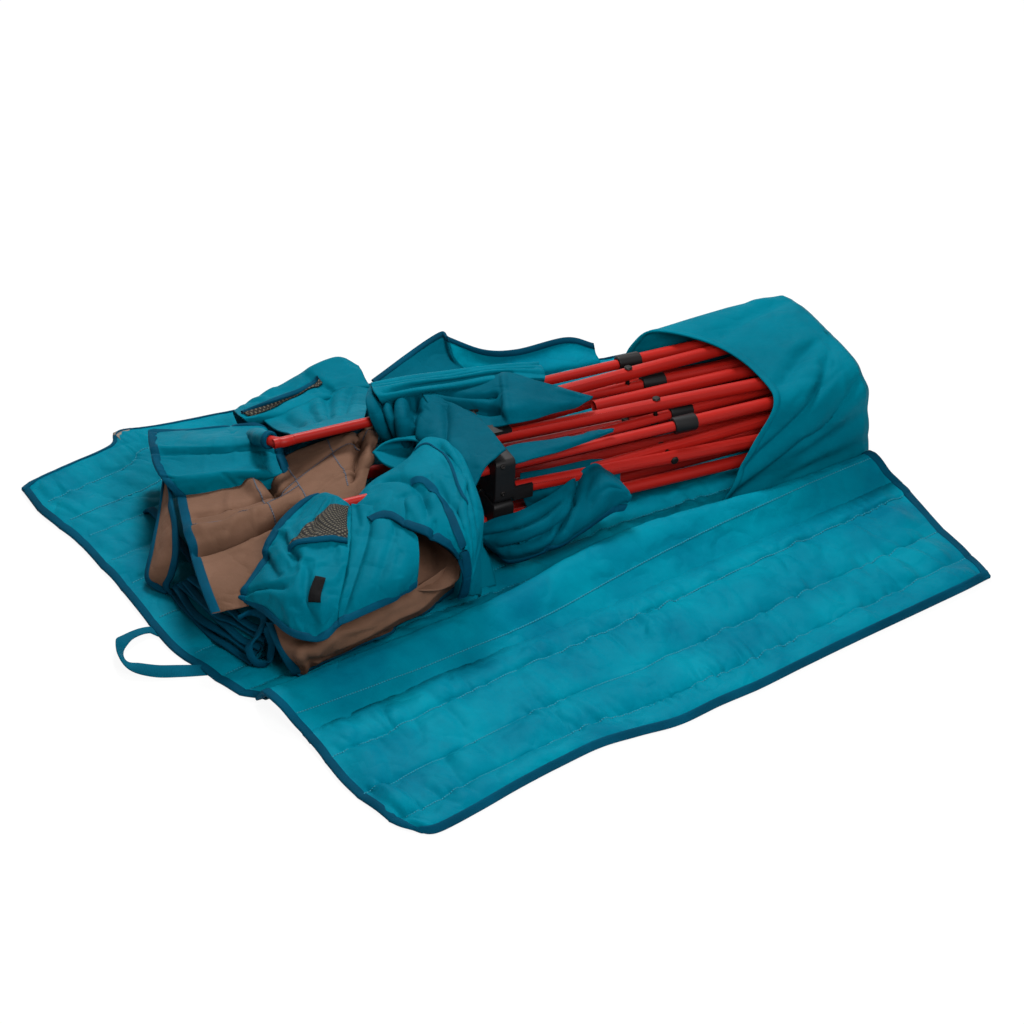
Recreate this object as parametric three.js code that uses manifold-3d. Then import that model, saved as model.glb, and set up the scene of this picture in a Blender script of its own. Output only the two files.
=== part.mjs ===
// Folding camping loveseat, folded flat and lying on its back on its opened carry wrap.
// Millimetres, +Z up. +X runs from the head end to the foot end, +Y from the near flap to the far edge.
import * as THREE from 'three';
import { mergeVertices } from 'three/addons/utils/BufferGeometryUtils.js';
import Module from 'manifold-3d';

const wasm = await Module();
wasm.setup();

// Clearances and facets
const SEAT_GAP = 0.3;
const SLIDE_GAP = 0.6;
const PIN_GAP = 0.4;
const SIDES = 10;
const PIN_SIDES = 6;

// Frame tubes
const TUBE_RADIUS = 9;
const THIN_RADIUS = 7;
const TUBE_WALL = 1;
const COLLAR_RADIUS = 12;
const COLLAR_LENGTH = 34;
const COLLAR_GRIP = 18;
const COLLAR_RIVET_CLEARANCE = 15;

// Scissor bars: every pair has the same length and pin offset, so all open by one angle
const BAR_LENGTH = 455;
const BAR_OVERHANG = 12;
const PIN_OFFSET = 31;
const FOLDED_SPREAD = 22;
const PIN_RADIUS = 4;
const OPEN_ANGLE = THREE.MathUtils.degToRad(60);
const BAY_PITCH = 2 * PIN_OFFSET + FOLDED_SPREAD;
const REST_ANGLE = Math.asin(FOLDED_SPREAD / BAR_LENGTH);
const BAR_LAYER_GAP = COLLAR_RADIUS - TUBE_RADIUS + 2 * SEAT_GAP;
const BAR_LAYER = TUBE_RADIUS + BAR_LAYER_GAP / 2;
const HUB_REACH = BAR_LENGTH * Math.cos(REST_ANGLE);
const HUB_TRAVEL = HUB_REACH - BAR_LENGTH * Math.cos(OPEN_ANGLE);

// Rivets where the bars of a pair cross
const RIVET_RADIUS = 3.2;
const RIVET_HEAD_RADIUS = 6.5;
const RIVET_HEAD_HEIGHT = 2.5;

const BAR_COLLAR_REACH = BAR_LENGTH / 2 - RIVET_HEAD_RADIUS - COLLAR_RIVET_CLEARANCE
  - (COLLAR_LENGTH - COLLAR_GRIP);

// Moulded feet and hubs
const PAD_START = 17;
const PAD_LENGTH = 30;
const PAD_CORNER = 8;
const PAD_BEVEL = 2;
const LUG_THICKNESS = 5;
const LUG_HALF_WIDTH = 10;
const LUG_FACE = BAR_LAYER + TUBE_RADIUS + 0.5;
const PAD_HALF = LUG_FACE + LUG_THICKNESS;
const SOCKET_RADIUS = 14;
const SOCKET_REACH = 14;
const SOCKET_DEPTH = 10;

// Posts
const BACK_POST_REACH = 800;
const POST_BEND_START = 575;
const POST_BEND_LENGTH = 80;
const POST_BEND_STEPS = 3;
const POST_SPLAY = 94;
const POST_RAKE = 24;
const MIDDLE_FRONT_REACH = 300;
const ARM_TUBE_REACH = 740;
const ARM_TUBE_ENGAGED = 25;

// Where the folded chair lies on the wrap
const FOOT_INSET = 40;
const FOOT_Y = 352;
const CHAIR_YAW = THREE.MathUtils.degToRad(-10);
const CHAIR_PITCH = THREE.MathUtils.degToRad(2.5);

// Carry wrap
const WRAP_LENGTH = 955;
const FOOT_X = WRAP_LENGTH - FOOT_INSET;
const WRAP_WIDTH = 950;
const WRAP_THICKNESS = 6;
const FLAP_HINGE_Y = 246;
const FLAP_SEAMS = [58, 124, 205];
const FLAP_CROWN = 8;
const FLAP_HINGE_GAP = 0.15;
const RIDGE_NEAR_Y = 262;
const RIDGE_WIDTH = 34;
const RIDGE_HEIGHT = 38;
const HEAD_BOW = 38;

// Foot hood, sewn on the wrap over the feet
const HOOD_WALL = 3;
const HOOD_HALF_WIDTH = 129;
const HOOD_HEIGHT = 156;
const HOOD_MOUTH_NEAR = 156;
const HOOD_MOUTH_TOP = 76;
const HOOD_MOUTH_FAR = 190;
const HOOD_SQUARENESS = 8;
const HOOD_END_SLACK = 12;
const HOOD_SEGMENTS = 16;

// Webbing handle and edge hooks
const WEBBING_WIDTH = 20;
const WEBBING_THICKNESS = 2.5;
const HANDLE_REACH = 95;
const HANDLE_SPAN = 120;
const HANDLE_Y = 515;
const HANDLE_TAB_EDGE = 5;
const HOOK_WIDTH = 24;
const HOOK_LENGTH = 22;
const HOOK_THICKNESS = 3;
const HOOK_NOSE = 6;
const HOOK_STATIONS = [['wrap_hook_head', 180], ['wrap_hook_middle', 430], ['wrap_hook_foot', 660]];

// Cloth of the chair
const CLOTH_THICKNESS = 12;
const CLOTH_GAP = 0.9;
const FORM_SIDES = 16;
const FORM_SQUARENESS = 2.6;
const FOLD_DEPTH = 0.12;

const COLOURS = {
  red: { color: 0xb3261f, roughness: 0.35, metalness: 0.1 },
  black: { color: 0x141414, roughness: 0.4, metalness: 0 },
  steel: { color: 0x55504a, roughness: 0.35, metalness: 0.8 },
  teal: { color: 0x008ea3, roughness: 0.8, metalness: 0 },
  darkTeal: { color: 0x00708a, roughness: 0.8, metalness: 0 },
  brown: { color: 0x6f4f3d, roughness: 0.85, metalness: 0 },
};

const part = new THREE.Group();
const wrap = new THREE.Group();
const chair = new THREE.Group();
const FOOT_Z = WRAP_THICKNESS + SEAT_GAP + PAD_HALF * Math.cos(CHAIR_PITCH)
  + (PAD_START + PAD_LENGTH - PAD_BEVEL) * Math.sin(CHAIR_PITCH);
chair.position.set(FOOT_X, FOOT_Y, FOOT_Z);
chair.rotation.set(0, CHAIR_PITCH, CHAIR_YAW, 'ZYX');
part.add(wrap, chair);
chair.updateMatrix();

// Solids: closed triangle meshes in and out of manifold-3d

function signedVolume(position, index) {
  const a = new THREE.Vector3();
  const b = new THREE.Vector3();
  const c = new THREE.Vector3();
  let volume = 0;
  for (let i = 0; i < index.count; i += 3) {
    a.fromBufferAttribute(position, index.getX(i));
    b.fromBufferAttribute(position, index.getX(i + 1));
    c.fromBufferAttribute(position, index.getX(i + 2));
    volume += a.dot(b.cross(c)) / 6;
  }
  return volume;
}

function solid(geometry) {
  const bare = geometry.clone();
  bare.deleteAttribute('normal');
  bare.deleteAttribute('uv');
  const merged = mergeVertices(bare, 1e-4);
  const triVerts = new Uint32Array(merged.index.array);
  if (signedVolume(merged.attributes.position, merged.index) < 0) triVerts.reverse();
  const vertProperties = new Float32Array(merged.attributes.position.array);
  return new wasm.Manifold(new wasm.Mesh({ numProp: 3, vertProperties, triVerts }));
}

function geometryOf(body) {
  const mesh = body.getMesh();
  const geometry = new THREE.BufferGeometry();
  geometry.setAttribute('position', new THREE.BufferAttribute(mesh.vertProperties, 3));
  geometry.setIndex(new THREE.BufferAttribute(mesh.triVerts, 1));
  geometry.computeVertexNormals();
  return geometry;
}

function addPiece(parent, name, body, finish) {
  const material = new THREE.MeshStandardMaterial(COLOURS[finish]);
  const mesh = new THREE.Mesh(geometryOf(body), material);
  mesh.name = name;
  parent.add(mesh);
  return mesh;
}

function fuse(bodies) {
  return bodies.reduce((whole, body) => whole.add(body));
}

// Radius of a faceted bore that clears a round bar by a gap
function boreRadius(radius, gap, sides = SIDES) {
  return (radius + gap) / Math.cos(Math.PI / sides);
}

// Turned solid on the X axis from a closed outline of [x, radius] points
function turned(outline, sides = SIDES) {
  const points = outline.map(([x, radius]) => new THREE.Vector2(radius, x));
  points.push(points[0].clone());
  const geometry = new THREE.LatheGeometry(points, sides);
  geometry.rotateZ(-Math.PI / 2);
  return geometry;
}

function rod(from, to, radius, sides = SIDES) {
  const start = new THREE.Vector3(...from);
  const span = new THREE.Vector3(...to).sub(start);
  const geometry = new THREE.CylinderGeometry(radius, radius, span.length(), sides);
  geometry.translate(0, span.length() / 2, 0);
  const up = new THREE.Vector3(0, 1, 0);
  geometry.applyQuaternion(new THREE.Quaternion().setFromUnitVectors(up, span.clone().normalize()));
  geometry.translate(start.x, start.y, start.z);
  return solid(geometry);
}

// Box between two corners, with rounded edges along X and bevelled ends
function roundedBlock(low, high) {
  const halfY = (high[1] - low[1]) / 2 - PAD_BEVEL;
  const halfZ = (high[2] - low[2]) / 2 - PAD_BEVEL;
  const corner = PAD_CORNER - PAD_BEVEL;
  const shape = new THREE.Shape();
  shape.moveTo(-halfY + corner, -halfZ);
  shape.lineTo(halfY - corner, -halfZ);
  shape.absarc(halfY - corner, -halfZ + corner, corner, -Math.PI / 2, 0);
  shape.lineTo(halfY, halfZ - corner);
  shape.absarc(halfY - corner, halfZ - corner, corner, 0, Math.PI / 2);
  shape.lineTo(-halfY + corner, halfZ);
  shape.absarc(-halfY + corner, halfZ - corner, corner, Math.PI / 2, Math.PI);
  shape.lineTo(-halfY, -halfZ + corner);
  shape.absarc(-halfY + corner, -halfZ + corner, corner, Math.PI, 1.5 * Math.PI);
  const depth = high[0] - low[0] - 2 * PAD_BEVEL;
  const geometry = new THREE.ExtrudeGeometry(shape, {
    depth, curveSegments: 1, bevelSize: PAD_BEVEL, bevelThickness: PAD_BEVEL, bevelSegments: 1,
  });
  const axes = new THREE.Matrix4().set(0, 0, 1, 0, 1, 0, 0, 0, 0, 1, 0, 0, 0, 0, 0, 1);
  geometry.applyMatrix4(axes);
  geometry.translate(low[0] + PAD_BEVEL, (low[1] + high[1]) / 2, (low[2] + high[2]) / 2);
  return solid(geometry);
}

function plainBlock(low, high) {
  const size = low.map((value, axis) => high[axis] - value);
  const geometry = new THREE.BoxGeometry(...size);
  geometry.translate(...low.map((value, axis) => (value + high[axis]) / 2));
  return solid(geometry);
}

function ordered(a, b) {
  return [Math.min(a, b), Math.max(a, b)];
}

// Tubes

function plainTube(fromX, toX, radius) {
  const bore = radius - TUBE_WALL;
  return solid(turned([[fromX, bore], [fromX, radius], [toX, radius], [toX, bore]]));
}

// Bar with a thick foot half and a thin hub half that meet in a shoulder under the collar
function steppedTube() {
  const foot = BAR_OVERHANG;
  const step = -BAR_COLLAR_REACH;
  const hub = -BAR_LENGTH - BAR_OVERHANG;
  return solid(turned([
    [foot, TUBE_RADIUS - TUBE_WALL], [foot, TUBE_RADIUS], [step, TUBE_RADIUS], [step, THIN_RADIUS],
    [hub, THIN_RADIUS], [hub, THIN_RADIUS - TUBE_WALL], [step + 2 * TUBE_WALL, THIN_RADIUS - TUBE_WALL],
    [step + 2 * TUBE_WALL, TUBE_RADIUS - TUBE_WALL],
  ]));
}

// Scissor bars, drawn along -X from the foot pin, with the pins along Z

function barSolid(collared) {
  const tube = collared ? steppedTube() : plainTube(BAR_OVERHANG, -BAR_LENGTH - BAR_OVERHANG, TUBE_RADIUS);
  const reach = 2 * TUBE_RADIUS;
  const hole = boreRadius(PIN_RADIUS, PIN_GAP, PIN_SIDES);
  const rivetHole = boreRadius(RIVET_RADIUS, PIN_GAP, PIN_SIDES);
  const holes = [
    rod([0, 0, -reach], [0, 0, reach], hole, PIN_SIDES),
    rod([-BAR_LENGTH / 2, 0, -reach], [-BAR_LENGTH / 2, 0, reach], rivetHole, PIN_SIDES),
    rod([-BAR_LENGTH, 0, -reach], [-BAR_LENGTH, 0, reach], hole, PIN_SIDES),
  ];
  return tube.subtract(fuse(holes));
}

const plainBar = barSolid(false);
const collaredBar = barSolid(true);

function rivetSolid() {
  const face = BAR_LAYER + TUBE_RADIUS + SEAT_GAP;
  const top = face + RIVET_HEAD_HEIGHT;
  const outline = [
    [-top, 0], [-top, RIVET_HEAD_RADIUS * 0.7], [-face, RIVET_HEAD_RADIUS], [-face, RIVET_RADIUS],
    [face, RIVET_RADIUS], [face, RIVET_HEAD_RADIUS], [top, RIVET_HEAD_RADIUS * 0.7], [top, 0],
  ];
  const geometry = turned(outline, PIN_SIDES);
  geometry.rotateY(Math.PI / 2);
  return solid(geometry);
}

const rivet = rivetSolid();

// One pair of crossed bars. side is 'width' (pins along Z) or 'depth' (pins along Y).
// The first bar runs from the foot at `origin` to the next column's hub, the second the other way.
function addScissor({ side, origin, layer, names, collars }) {
  const across = side === 'width' ? new THREE.Vector3(0, 1, 0) : new THREE.Vector3(0, 0, 1);
  const pinAxis = side === 'width' ? new THREE.Vector3(0, 0, 1) : new THREE.Vector3(0, 1, 0);
  const lay = new THREE.Quaternion();
  if (side === 'depth') lay.setFromAxisAngle(new THREE.Vector3(1, 0, 0), -Math.PI / 2);
  const lean = side === 'width' ? -REST_ANGLE : REST_ANGLE;
  const start = new THREE.Vector3(...origin);
  const bars = [
    { offset: PIN_OFFSET, angle: lean, layer, collared: collars[0] },
    { offset: PIN_OFFSET + FOLDED_SPREAD, angle: -lean, layer: -layer, collared: collars[1] },
  ];
  bars.forEach((bar, i) => {
    const mesh = addPiece(chair, names[i], bar.collared ? collaredBar : plainBar, 'red');
    mesh.position.copy(start).addScaledVector(across, bar.offset);
    mesh.position.addScaledVector(pinAxis, bar.layer * BAR_LAYER);
    mesh.quaternion.setFromAxisAngle(pinAxis, bar.angle).multiply(lay);
    if (bar.collared) {
      const collar = addPiece(chair, collars[i], barCollar(), 'black');
      collar.position.copy(mesh.position);
      collar.quaternion.copy(mesh.quaternion);
    }
  });
  const pin = addPiece(chair, names[2], rivet, 'steel');
  pin.position.copy(start).addScaledVector(across, BAY_PITCH / 2);
  pin.position.x = -BAR_LENGTH / 2 * Math.cos(REST_ANGLE);
  pin.quaternion.copy(lay);
}

// Collar over the mouth of a thick tube at x = reach, with the thin tube coming out of it
function collarSolid(reach) {
  const wide = boreRadius(TUBE_RADIUS, SEAT_GAP);
  const narrow = boreRadius(THIN_RADIUS, SEAT_GAP);
  const chamfer = 1.5;
  const foot = reach + COLLAR_GRIP;
  const head = reach + COLLAR_GRIP - COLLAR_LENGTH;
  const shoulder = reach - SEAT_GAP;
  return solid(turned([
    [foot, wide], [foot, COLLAR_RADIUS - chamfer], [foot - chamfer, COLLAR_RADIUS],
    [head + chamfer, COLLAR_RADIUS], [head, COLLAR_RADIUS - chamfer], [head, narrow],
    [shoulder, narrow], [shoulder, wide],
  ]));
}

function barCollar() {
  return collarSolid(-BAR_COLLAR_REACH);
}

// Moulded block at a post: end is +1 for a foot and -1 for a hub, drawn about the post at the pin level.
// Each lug is { side: 'width' | 'depth', toward: +1 | -1, layer: +1 | -1 }.
function blockSolid(end, lugs, cut) {
  const [padLow, padHigh] = ordered(end * PAD_START, end * (PAD_START + PAD_LENGTH));
  const [lugLow, lugHigh] = ordered(end * (PAD_START + PAD_BEVEL), -end * LUG_HALF_WIDTH);
  const reach = PIN_OFFSET + LUG_HALF_WIDTH;
  const bodies = [roundedBlock([padLow, -PAD_HALF, -PAD_HALF], [padHigh, PAD_HALF, PAD_HALF])];
  for (const lug of lugs) {
    const [armLow, armHigh] = ordered(0, lug.toward * reach);
    const plateLow = lug.toward * PIN_OFFSET - LUG_HALF_WIDTH;
    const plateHigh = lug.toward * PIN_OFFSET + LUG_HALF_WIDTH;
    const [faceLow, faceHigh] = ordered(lug.layer * LUG_FACE, lug.layer * PAD_HALF);
    const pinStart = lug.layer * (PAD_HALF - 1);
    const pinEnd = lug.layer * BAR_LAYER_GAP;
    const place = (x, along, normal) => (lug.side === 'width' ? [x, along, normal] : [x, normal, along]);
    bodies.push(roundedBlock(place(padLow, armLow, -PAD_HALF), place(padHigh, armHigh, PAD_HALF)));
    bodies.push(plainBlock(place(lugLow, plateLow, faceLow), place(lugHigh, plateHigh, faceHigh)));
    const pinAt = lug.toward * PIN_OFFSET;
    bodies.push(rod(place(0, pinAt, pinStart), place(0, pinAt, pinEnd), PIN_RADIUS, PIN_SIDES));
  }
  if (end > 0) bodies.push(rod([PAD_START + PAD_BEVEL, 0, 0], [-SOCKET_REACH, 0, 0], SOCKET_RADIUS));
  return fuse(bodies).subtract(cut);
}

function footCut(telescopes) {
  const bottom = PAD_START + SOCKET_DEPTH;
  const socket = rod([-SOCKET_REACH - 1, 0, 0], [bottom, 0, 0], boreRadius(TUBE_RADIUS, SEAT_GAP));
  if (!telescopes) return socket;
  const through = rod([0, 0, 0], [PAD_START + PAD_LENGTH + 1, 0, 0], boreRadius(THIN_RADIUS, SLIDE_GAP));
  return socket.add(through);
}

function hubCut(radius, gap) {
  return rod([-PAD_START - PAD_LENGTH - 1, 0, 0], [0, 0, 0], boreRadius(radius, gap));
}

// Columns from near to far, rows from back (bottom) to front (top)
const COLUMNS = ['near', 'middle', 'far'];
const ROWS = ['back', 'front'];
const BAY_LAYERS = { back: [1, 1], front: [1, -1] };

function lugsAt(end, row, column) {
  const lugs = [];
  const barAt = (bay) => BAY_LAYERS[ROWS[row]][bay] * end;
  if (column < 2) lugs.push({ side: 'width', toward: 1, layer: barAt(column) });
  if (column > 0) lugs.push({ side: 'width', toward: -1, layer: -barAt(column - 1) });
  if (column !== 1) {
    const outward = column === 0 ? -1 : 1;
    const toward = row === 0 ? 1 : -1;
    lugs.push({ side: 'depth', toward, layer: outward * toward * end });
  }
  return lugs;
}

function addBlocks() {
  ROWS.forEach((rowName, row) => {
    COLUMNS.forEach((columnName, column) => {
      const telescopes = row === 1 && column !== 1;
      const at = [0, column * BAY_PITCH, row * BAY_PITCH];
      const footBody = blockSolid(1, lugsAt(1, row, column), footCut(telescopes));
      addPiece(chair, `${columnName}_${rowName}_foot`, footBody, 'black').position.set(...at);
      const bore = telescopes ? hubCut(THIN_RADIUS, SEAT_GAP) : hubCut(TUBE_RADIUS, SLIDE_GAP);
      const hubBody = blockSolid(-1, lugsAt(-1, row, column), bore);
      const hub = addPiece(chair, `${columnName}_${rowName}_hub`, hubBody, 'black');
      hub.position.set(at[0] - HUB_REACH, at[1], at[2]);
    });
  });
}

// Posts

const POST_FOOT = PAD_START + SOCKET_DEPTH - SEAT_GAP;

function backPostPoints(splay) {
  const bendEnd = POST_BEND_START + POST_BEND_LENGTH;
  const tail = BACK_POST_REACH - bendEnd;
  const share = POST_BEND_LENGTH / (POST_BEND_LENGTH + 2 * tail);
  return [
    [POST_FOOT, 0, 0],
    [-POST_BEND_START / 2, 0, 0],
    [-POST_BEND_START, 0, 0],
    [-bendEnd, splay * share, POST_RAKE * share],
    [-BACK_POST_REACH, splay, POST_RAKE],
  ];
}

function backPostGeometry(column, radius, bored) {
  const points = backPostPoints((column - 1) * POST_SPLAY).map((point) => new THREE.Vector3(...point));
  const bend = new THREE.QuadraticBezierCurve3(
    points[2],
    new THREE.Vector3(-POST_BEND_START - POST_BEND_LENGTH / 2, 0, 0),
    points[3],
  );
  const route = [points[0], points[1], points[2], ...bend.getPoints(POST_BEND_STEPS).slice(1), points[4]];
  return tubeAlong(route, radius, bored);
}

// Tube through given points, with a ring of facets square to the path at each point
function tubeAlong(points, radius, bored) {
  const rings = (size) => points.map((point, i) => {
    const before = points[Math.max(i - 1, 0)];
    const after = points[Math.min(i + 1, points.length - 1)];
    const forward = after.clone().sub(before).normalize();
    const sideways = new THREE.Vector3(0, 0, 1).cross(forward).normalize();
    const upward = forward.clone().cross(sideways);
    return Array.from({ length: SIDES }, (_, k) => {
      const turn = (2 * Math.PI * k) / SIDES;
      return point.clone()
        .addScaledVector(sideways, size * Math.cos(turn))
        .addScaledVector(upward, size * Math.sin(turn));
    });
  });
  const outer = solid(loft(rings(radius)));
  if (!bored) return outer;
  const inner = rings(radius - TUBE_WALL);
  const first = points[0].clone().sub(points[1]).normalize();
  const last = points.at(-1).clone().sub(points.at(-2)).normalize();
  inner[0].forEach((point) => point.add(first));
  inner.at(-1).forEach((point) => point.add(last));
  return outer.subtract(solid(loft(inner)));
}

// Closed skin over a row of rings with equal point counts
function loft(rings) {
  const count = rings[0].length;
  const points = rings.flat();
  const index = [];
  for (let i = 0; i + 1 < rings.length; i += 1) {
    for (let k = 0; k < count; k += 1) {
      const next = (k + 1) % count;
      const a = i * count + k;
      const b = i * count + next;
      const c = (i + 1) * count + k;
      const d = (i + 1) * count + next;
      index.push(a, b, d, a, d, c);
    }
  }
  const cap = (ring, start, flip) => {
    const centre = ring.reduce((sum, point) => sum.add(point), new THREE.Vector3());
    points.push(centre.divideScalar(count));
    for (let k = 0; k < count; k += 1) {
      const pair = [start + k, start + ((k + 1) % count)];
      if (flip) pair.reverse();
      index.push(points.length - 1, ...pair);
    }
  };
  cap(rings[0], 0, true);
  cap(rings.at(-1), (rings.length - 1) * count, false);
  const geometry = new THREE.BufferGeometry().setFromPoints(points);
  geometry.setIndex(index);
  return geometry;
}

const ARM_TUBE_FOOT = PAD_START + PAD_LENGTH - 1 - HUB_TRAVEL;
const OUTER_POST_HEAD = ARM_TUBE_FOOT - ARM_TUBE_ENGAGED;

const SCISSORS = [
  {
    side: 'width', origin: [0, 0, 0], layer: BAY_LAYERS.back[0], collars: [],
    names: ['back_near_rising_bar', 'back_near_falling_bar', 'back_near_rivet'],
  },
  {
    side: 'width', origin: [0, BAY_PITCH, 0], layer: BAY_LAYERS.back[1], collars: [],
    names: ['back_far_rising_bar', 'back_far_falling_bar', 'back_far_rivet'],
  },
  {
    side: 'width', origin: [0, 0, BAY_PITCH], layer: BAY_LAYERS.front[0],
    collars: [null, 'near_bar_collar'],
    names: ['front_near_plain_bar', 'front_near_collared_bar', 'front_near_rivet'],
  },
  {
    side: 'width', origin: [0, BAY_PITCH, BAY_PITCH], layer: BAY_LAYERS.front[1],
    collars: ['far_bar_collar', null],
    names: ['front_far_collared_bar', 'front_far_plain_bar', 'front_far_rivet'],
  },
  {
    side: 'depth', origin: [0, 0, 0], layer: -1, collars: [],
    names: ['near_side_rising_bar', 'near_side_falling_bar', 'near_side_rivet'],
  },
  {
    side: 'depth', origin: [0, 2 * BAY_PITCH, 0], layer: 1, collars: [],
    names: ['far_side_rising_bar', 'far_side_falling_bar', 'far_side_rivet'],
  },
];

function addPosts() {
  COLUMNS.forEach((columnName, column) => {
    const back = backPostGeometry(column, TUBE_RADIUS, true);
    addPiece(chair, `${columnName}_back_post`, back, 'red').position.y = column * BAY_PITCH;
    const head = column === 1 ? -MIDDLE_FRONT_REACH : OUTER_POST_HEAD;
    const upright = plainTube(POST_FOOT, head, TUBE_RADIUS);
    const front = addPiece(chair, `${columnName}_front_post`, upright, 'red');
    front.position.set(0, column * BAY_PITCH, BAY_PITCH);
    if (column === 1) return;
    const arm = addPiece(chair, `${columnName}_arm_tube`, armTube(), 'red');
    const collar = addPiece(chair, `${columnName}_post_collar`, collarSolid(OUTER_POST_HEAD), 'black');
    arm.position.copy(front.position);
    collar.position.copy(front.position);
  });
}

function armTube() {
  return plainTube(ARM_TUBE_FOOT, -ARM_TUBE_REACH, THIN_RADIUS);
}

// Carry wrap

function plate(outline, thickness, base) {
  const shape = new THREE.Shape(outline.map(([x, y]) => new THREE.Vector2(x, y)));
  const geometry = new THREE.ExtrudeGeometry(shape, { depth: thickness, bevelEnabled: false });
  geometry.translate(0, 0, base);
  return solid(geometry);
}

// Prism along X from a [y, z] outline
function prismX(outline, fromX, toX) {
  const shape = new THREE.Shape(outline.map(([y, z]) => new THREE.Vector2(y, z)));
  const geometry = new THREE.ExtrudeGeometry(shape, { depth: toX - fromX, bevelEnabled: false });
  const axes = new THREE.Matrix4().set(0, 0, 1, fromX, 1, 0, 0, 0, 0, 1, 0, 0, 0, 0, 0, 1);
  geometry.applyMatrix4(axes);
  return solid(geometry);
}

function farEdge(x) {
  const slope = 0.26;
  const bendX = 180;
  return x < bendX ? WRAP_WIDTH + 10 : WRAP_WIDTH + 10 - (x - bendX) * slope;
}

function wrapPanel() {
  const hinge = FLAP_HINGE_Y + FLAP_HINGE_GAP;
  const tab = HANDLE_SPAN / 2 + HANDLE_TAB_EDGE;
  const outline = [
    [-HEAD_BOW * 0.7, hinge], [WRAP_LENGTH, hinge], [WRAP_LENGTH + 25, FOOT_Y + BAY_PITCH],
    [WRAP_LENGTH + 10, farEdge(WRAP_LENGTH + 10)], [180, farEdge(180)], [10, WRAP_WIDTH],
    [-HEAD_BOW * 0.25, 675], [-HEAD_BOW, HANDLE_Y + tab],
    [-HEAD_BOW, HANDLE_Y - tab], [-HEAD_BOW * 0.8, 407],
  ];
  return plate(outline, WRAP_THICKNESS, 0);
}

// Padded ridge sewn along the flap's hinge line
function wrapRidge() {
  const crest = RIDGE_NEAR_Y + RIDGE_WIDTH / 2;
  const base = WRAP_THICKNESS + SEAT_GAP;
  const shoulder = RIDGE_WIDTH * 0.26;
  const flat = RIDGE_WIDTH * 0.09;
  return prismX([
    [RIDGE_NEAR_Y, base], [RIDGE_NEAR_Y + RIDGE_WIDTH, base],
    [crest + shoulder, RIDGE_HEIGHT - shoulder / 2], [crest + flat, RIDGE_HEIGHT],
    [crest - flat, RIDGE_HEIGHT], [crest - shoulder, RIDGE_HEIGHT - shoulder / 2],
  ], -HEAD_BOW / 2, WRAP_LENGTH - 1);
}

// Quilted flap: padded channels between straight seams
function nearFlap() {
  const stepsPerChannel = 4;
  const edges = [0, ...FLAP_SEAMS, FLAP_HINGE_Y - FLAP_HINGE_GAP];
  const outline = [[0, 0], [edges.at(-1), 0]];
  for (let i = edges.length - 1; i > 0; i -= 1) {
    const wide = edges[i] - edges[i - 1];
    for (let step = 0; step < stepsPerChannel; step += 1) {
      const along = step / stepsPerChannel;
      const crown = FLAP_CROWN * Math.sin(Math.PI * along);
      outline.push([edges[i] - wide * along, WRAP_THICKNESS - 1 + crown]);
    }
  }
  outline.push([0, WRAP_THICKNESS - 1]);
  return prismX(outline, 0, WRAP_LENGTH);
}

// Loaf-shaped hood section, square-shouldered over the feet, drawn about the middle column.
// xAt gives the section's place along the frame for each share of the way from the far to the near wall.
function hoodRing(xAt, halfWidth, height) {
  const points = [];
  const power = 2 / HOOD_SQUARENESS;
  for (let i = 0; i <= HOOD_SEGMENTS; i += 1) {
    const share = i / HOOD_SEGMENTS;
    const turn = Math.PI * share;
    const across = Math.sign(Math.cos(turn)) * Math.abs(Math.cos(turn)) ** power;
    const up = Math.sin(turn) ** power;
    points.push(new THREE.Vector3(xAt(share), BAY_PITCH + halfWidth * across, height * up));
  }
  return points;
}

// The mouth is cut back over the near shoulder and reaches forward at the far wall and at the near hem
function hoodMouth(share) {
  const far = THREE.MathUtils.smoothstep(share, 0.2, 0.5);
  const near = THREE.MathUtils.smoothstep(share, 0.75, 1);
  const top = THREE.MathUtils.lerp(-HOOD_MOUTH_FAR, -HOOD_MOUTH_TOP, far);
  return THREE.MathUtils.lerp(top, -HOOD_MOUTH_NEAR, near);
}

function hoodBody(inset, reach) {
  const end = PAD_START + PAD_LENGTH + HOOD_END_SLACK + HOOD_WALL - inset;
  const stations = [
    [(share) => hoodMouth(share) - reach, 1.08], [() => PAD_START - HOOD_MOUTH_TOP / 2, 1.05],
    [() => end - 26, 1], [() => end - 8, 0.96], [() => end, 0.88],
  ];
  const rings = stations.map(([xAt, scale]) => hoodRing(
    xAt,
    HOOD_HALF_WIDTH * scale - inset,
    HOOD_HEIGHT * scale - inset,
  ));
  return solid(loft(rings));
}

function addHood() {
  const frame = new THREE.Group();
  frame.position.set(FOOT_X, FOOT_Y, WRAP_THICKNESS + SEAT_GAP);
  frame.rotation.z = CHAIR_YAW;
  const shell = hoodBody(0, 0).subtract(hoodBody(HOOD_WALL, HOOD_MOUTH_TOP).add(floorTrim()));
  wrap.add(frame);
  addPiece(frame, 'foot_hood', shell, 'teal');
}

// Opens the hood's floor, so only its walls meet the wrap
function floorTrim() {
  const end = PAD_START + PAD_LENGTH + HOOD_END_SLACK - HOOD_WALL;
  const half = HOOD_HALF_WIDTH * 0.88 - 2 * HOOD_WALL;
  const low = [-HOOD_MOUTH_FAR - 1, BAY_PITCH - half, -1];
  return plainBlock(low, [end, BAY_PITCH + half, HOOD_WALL]);
}

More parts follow.
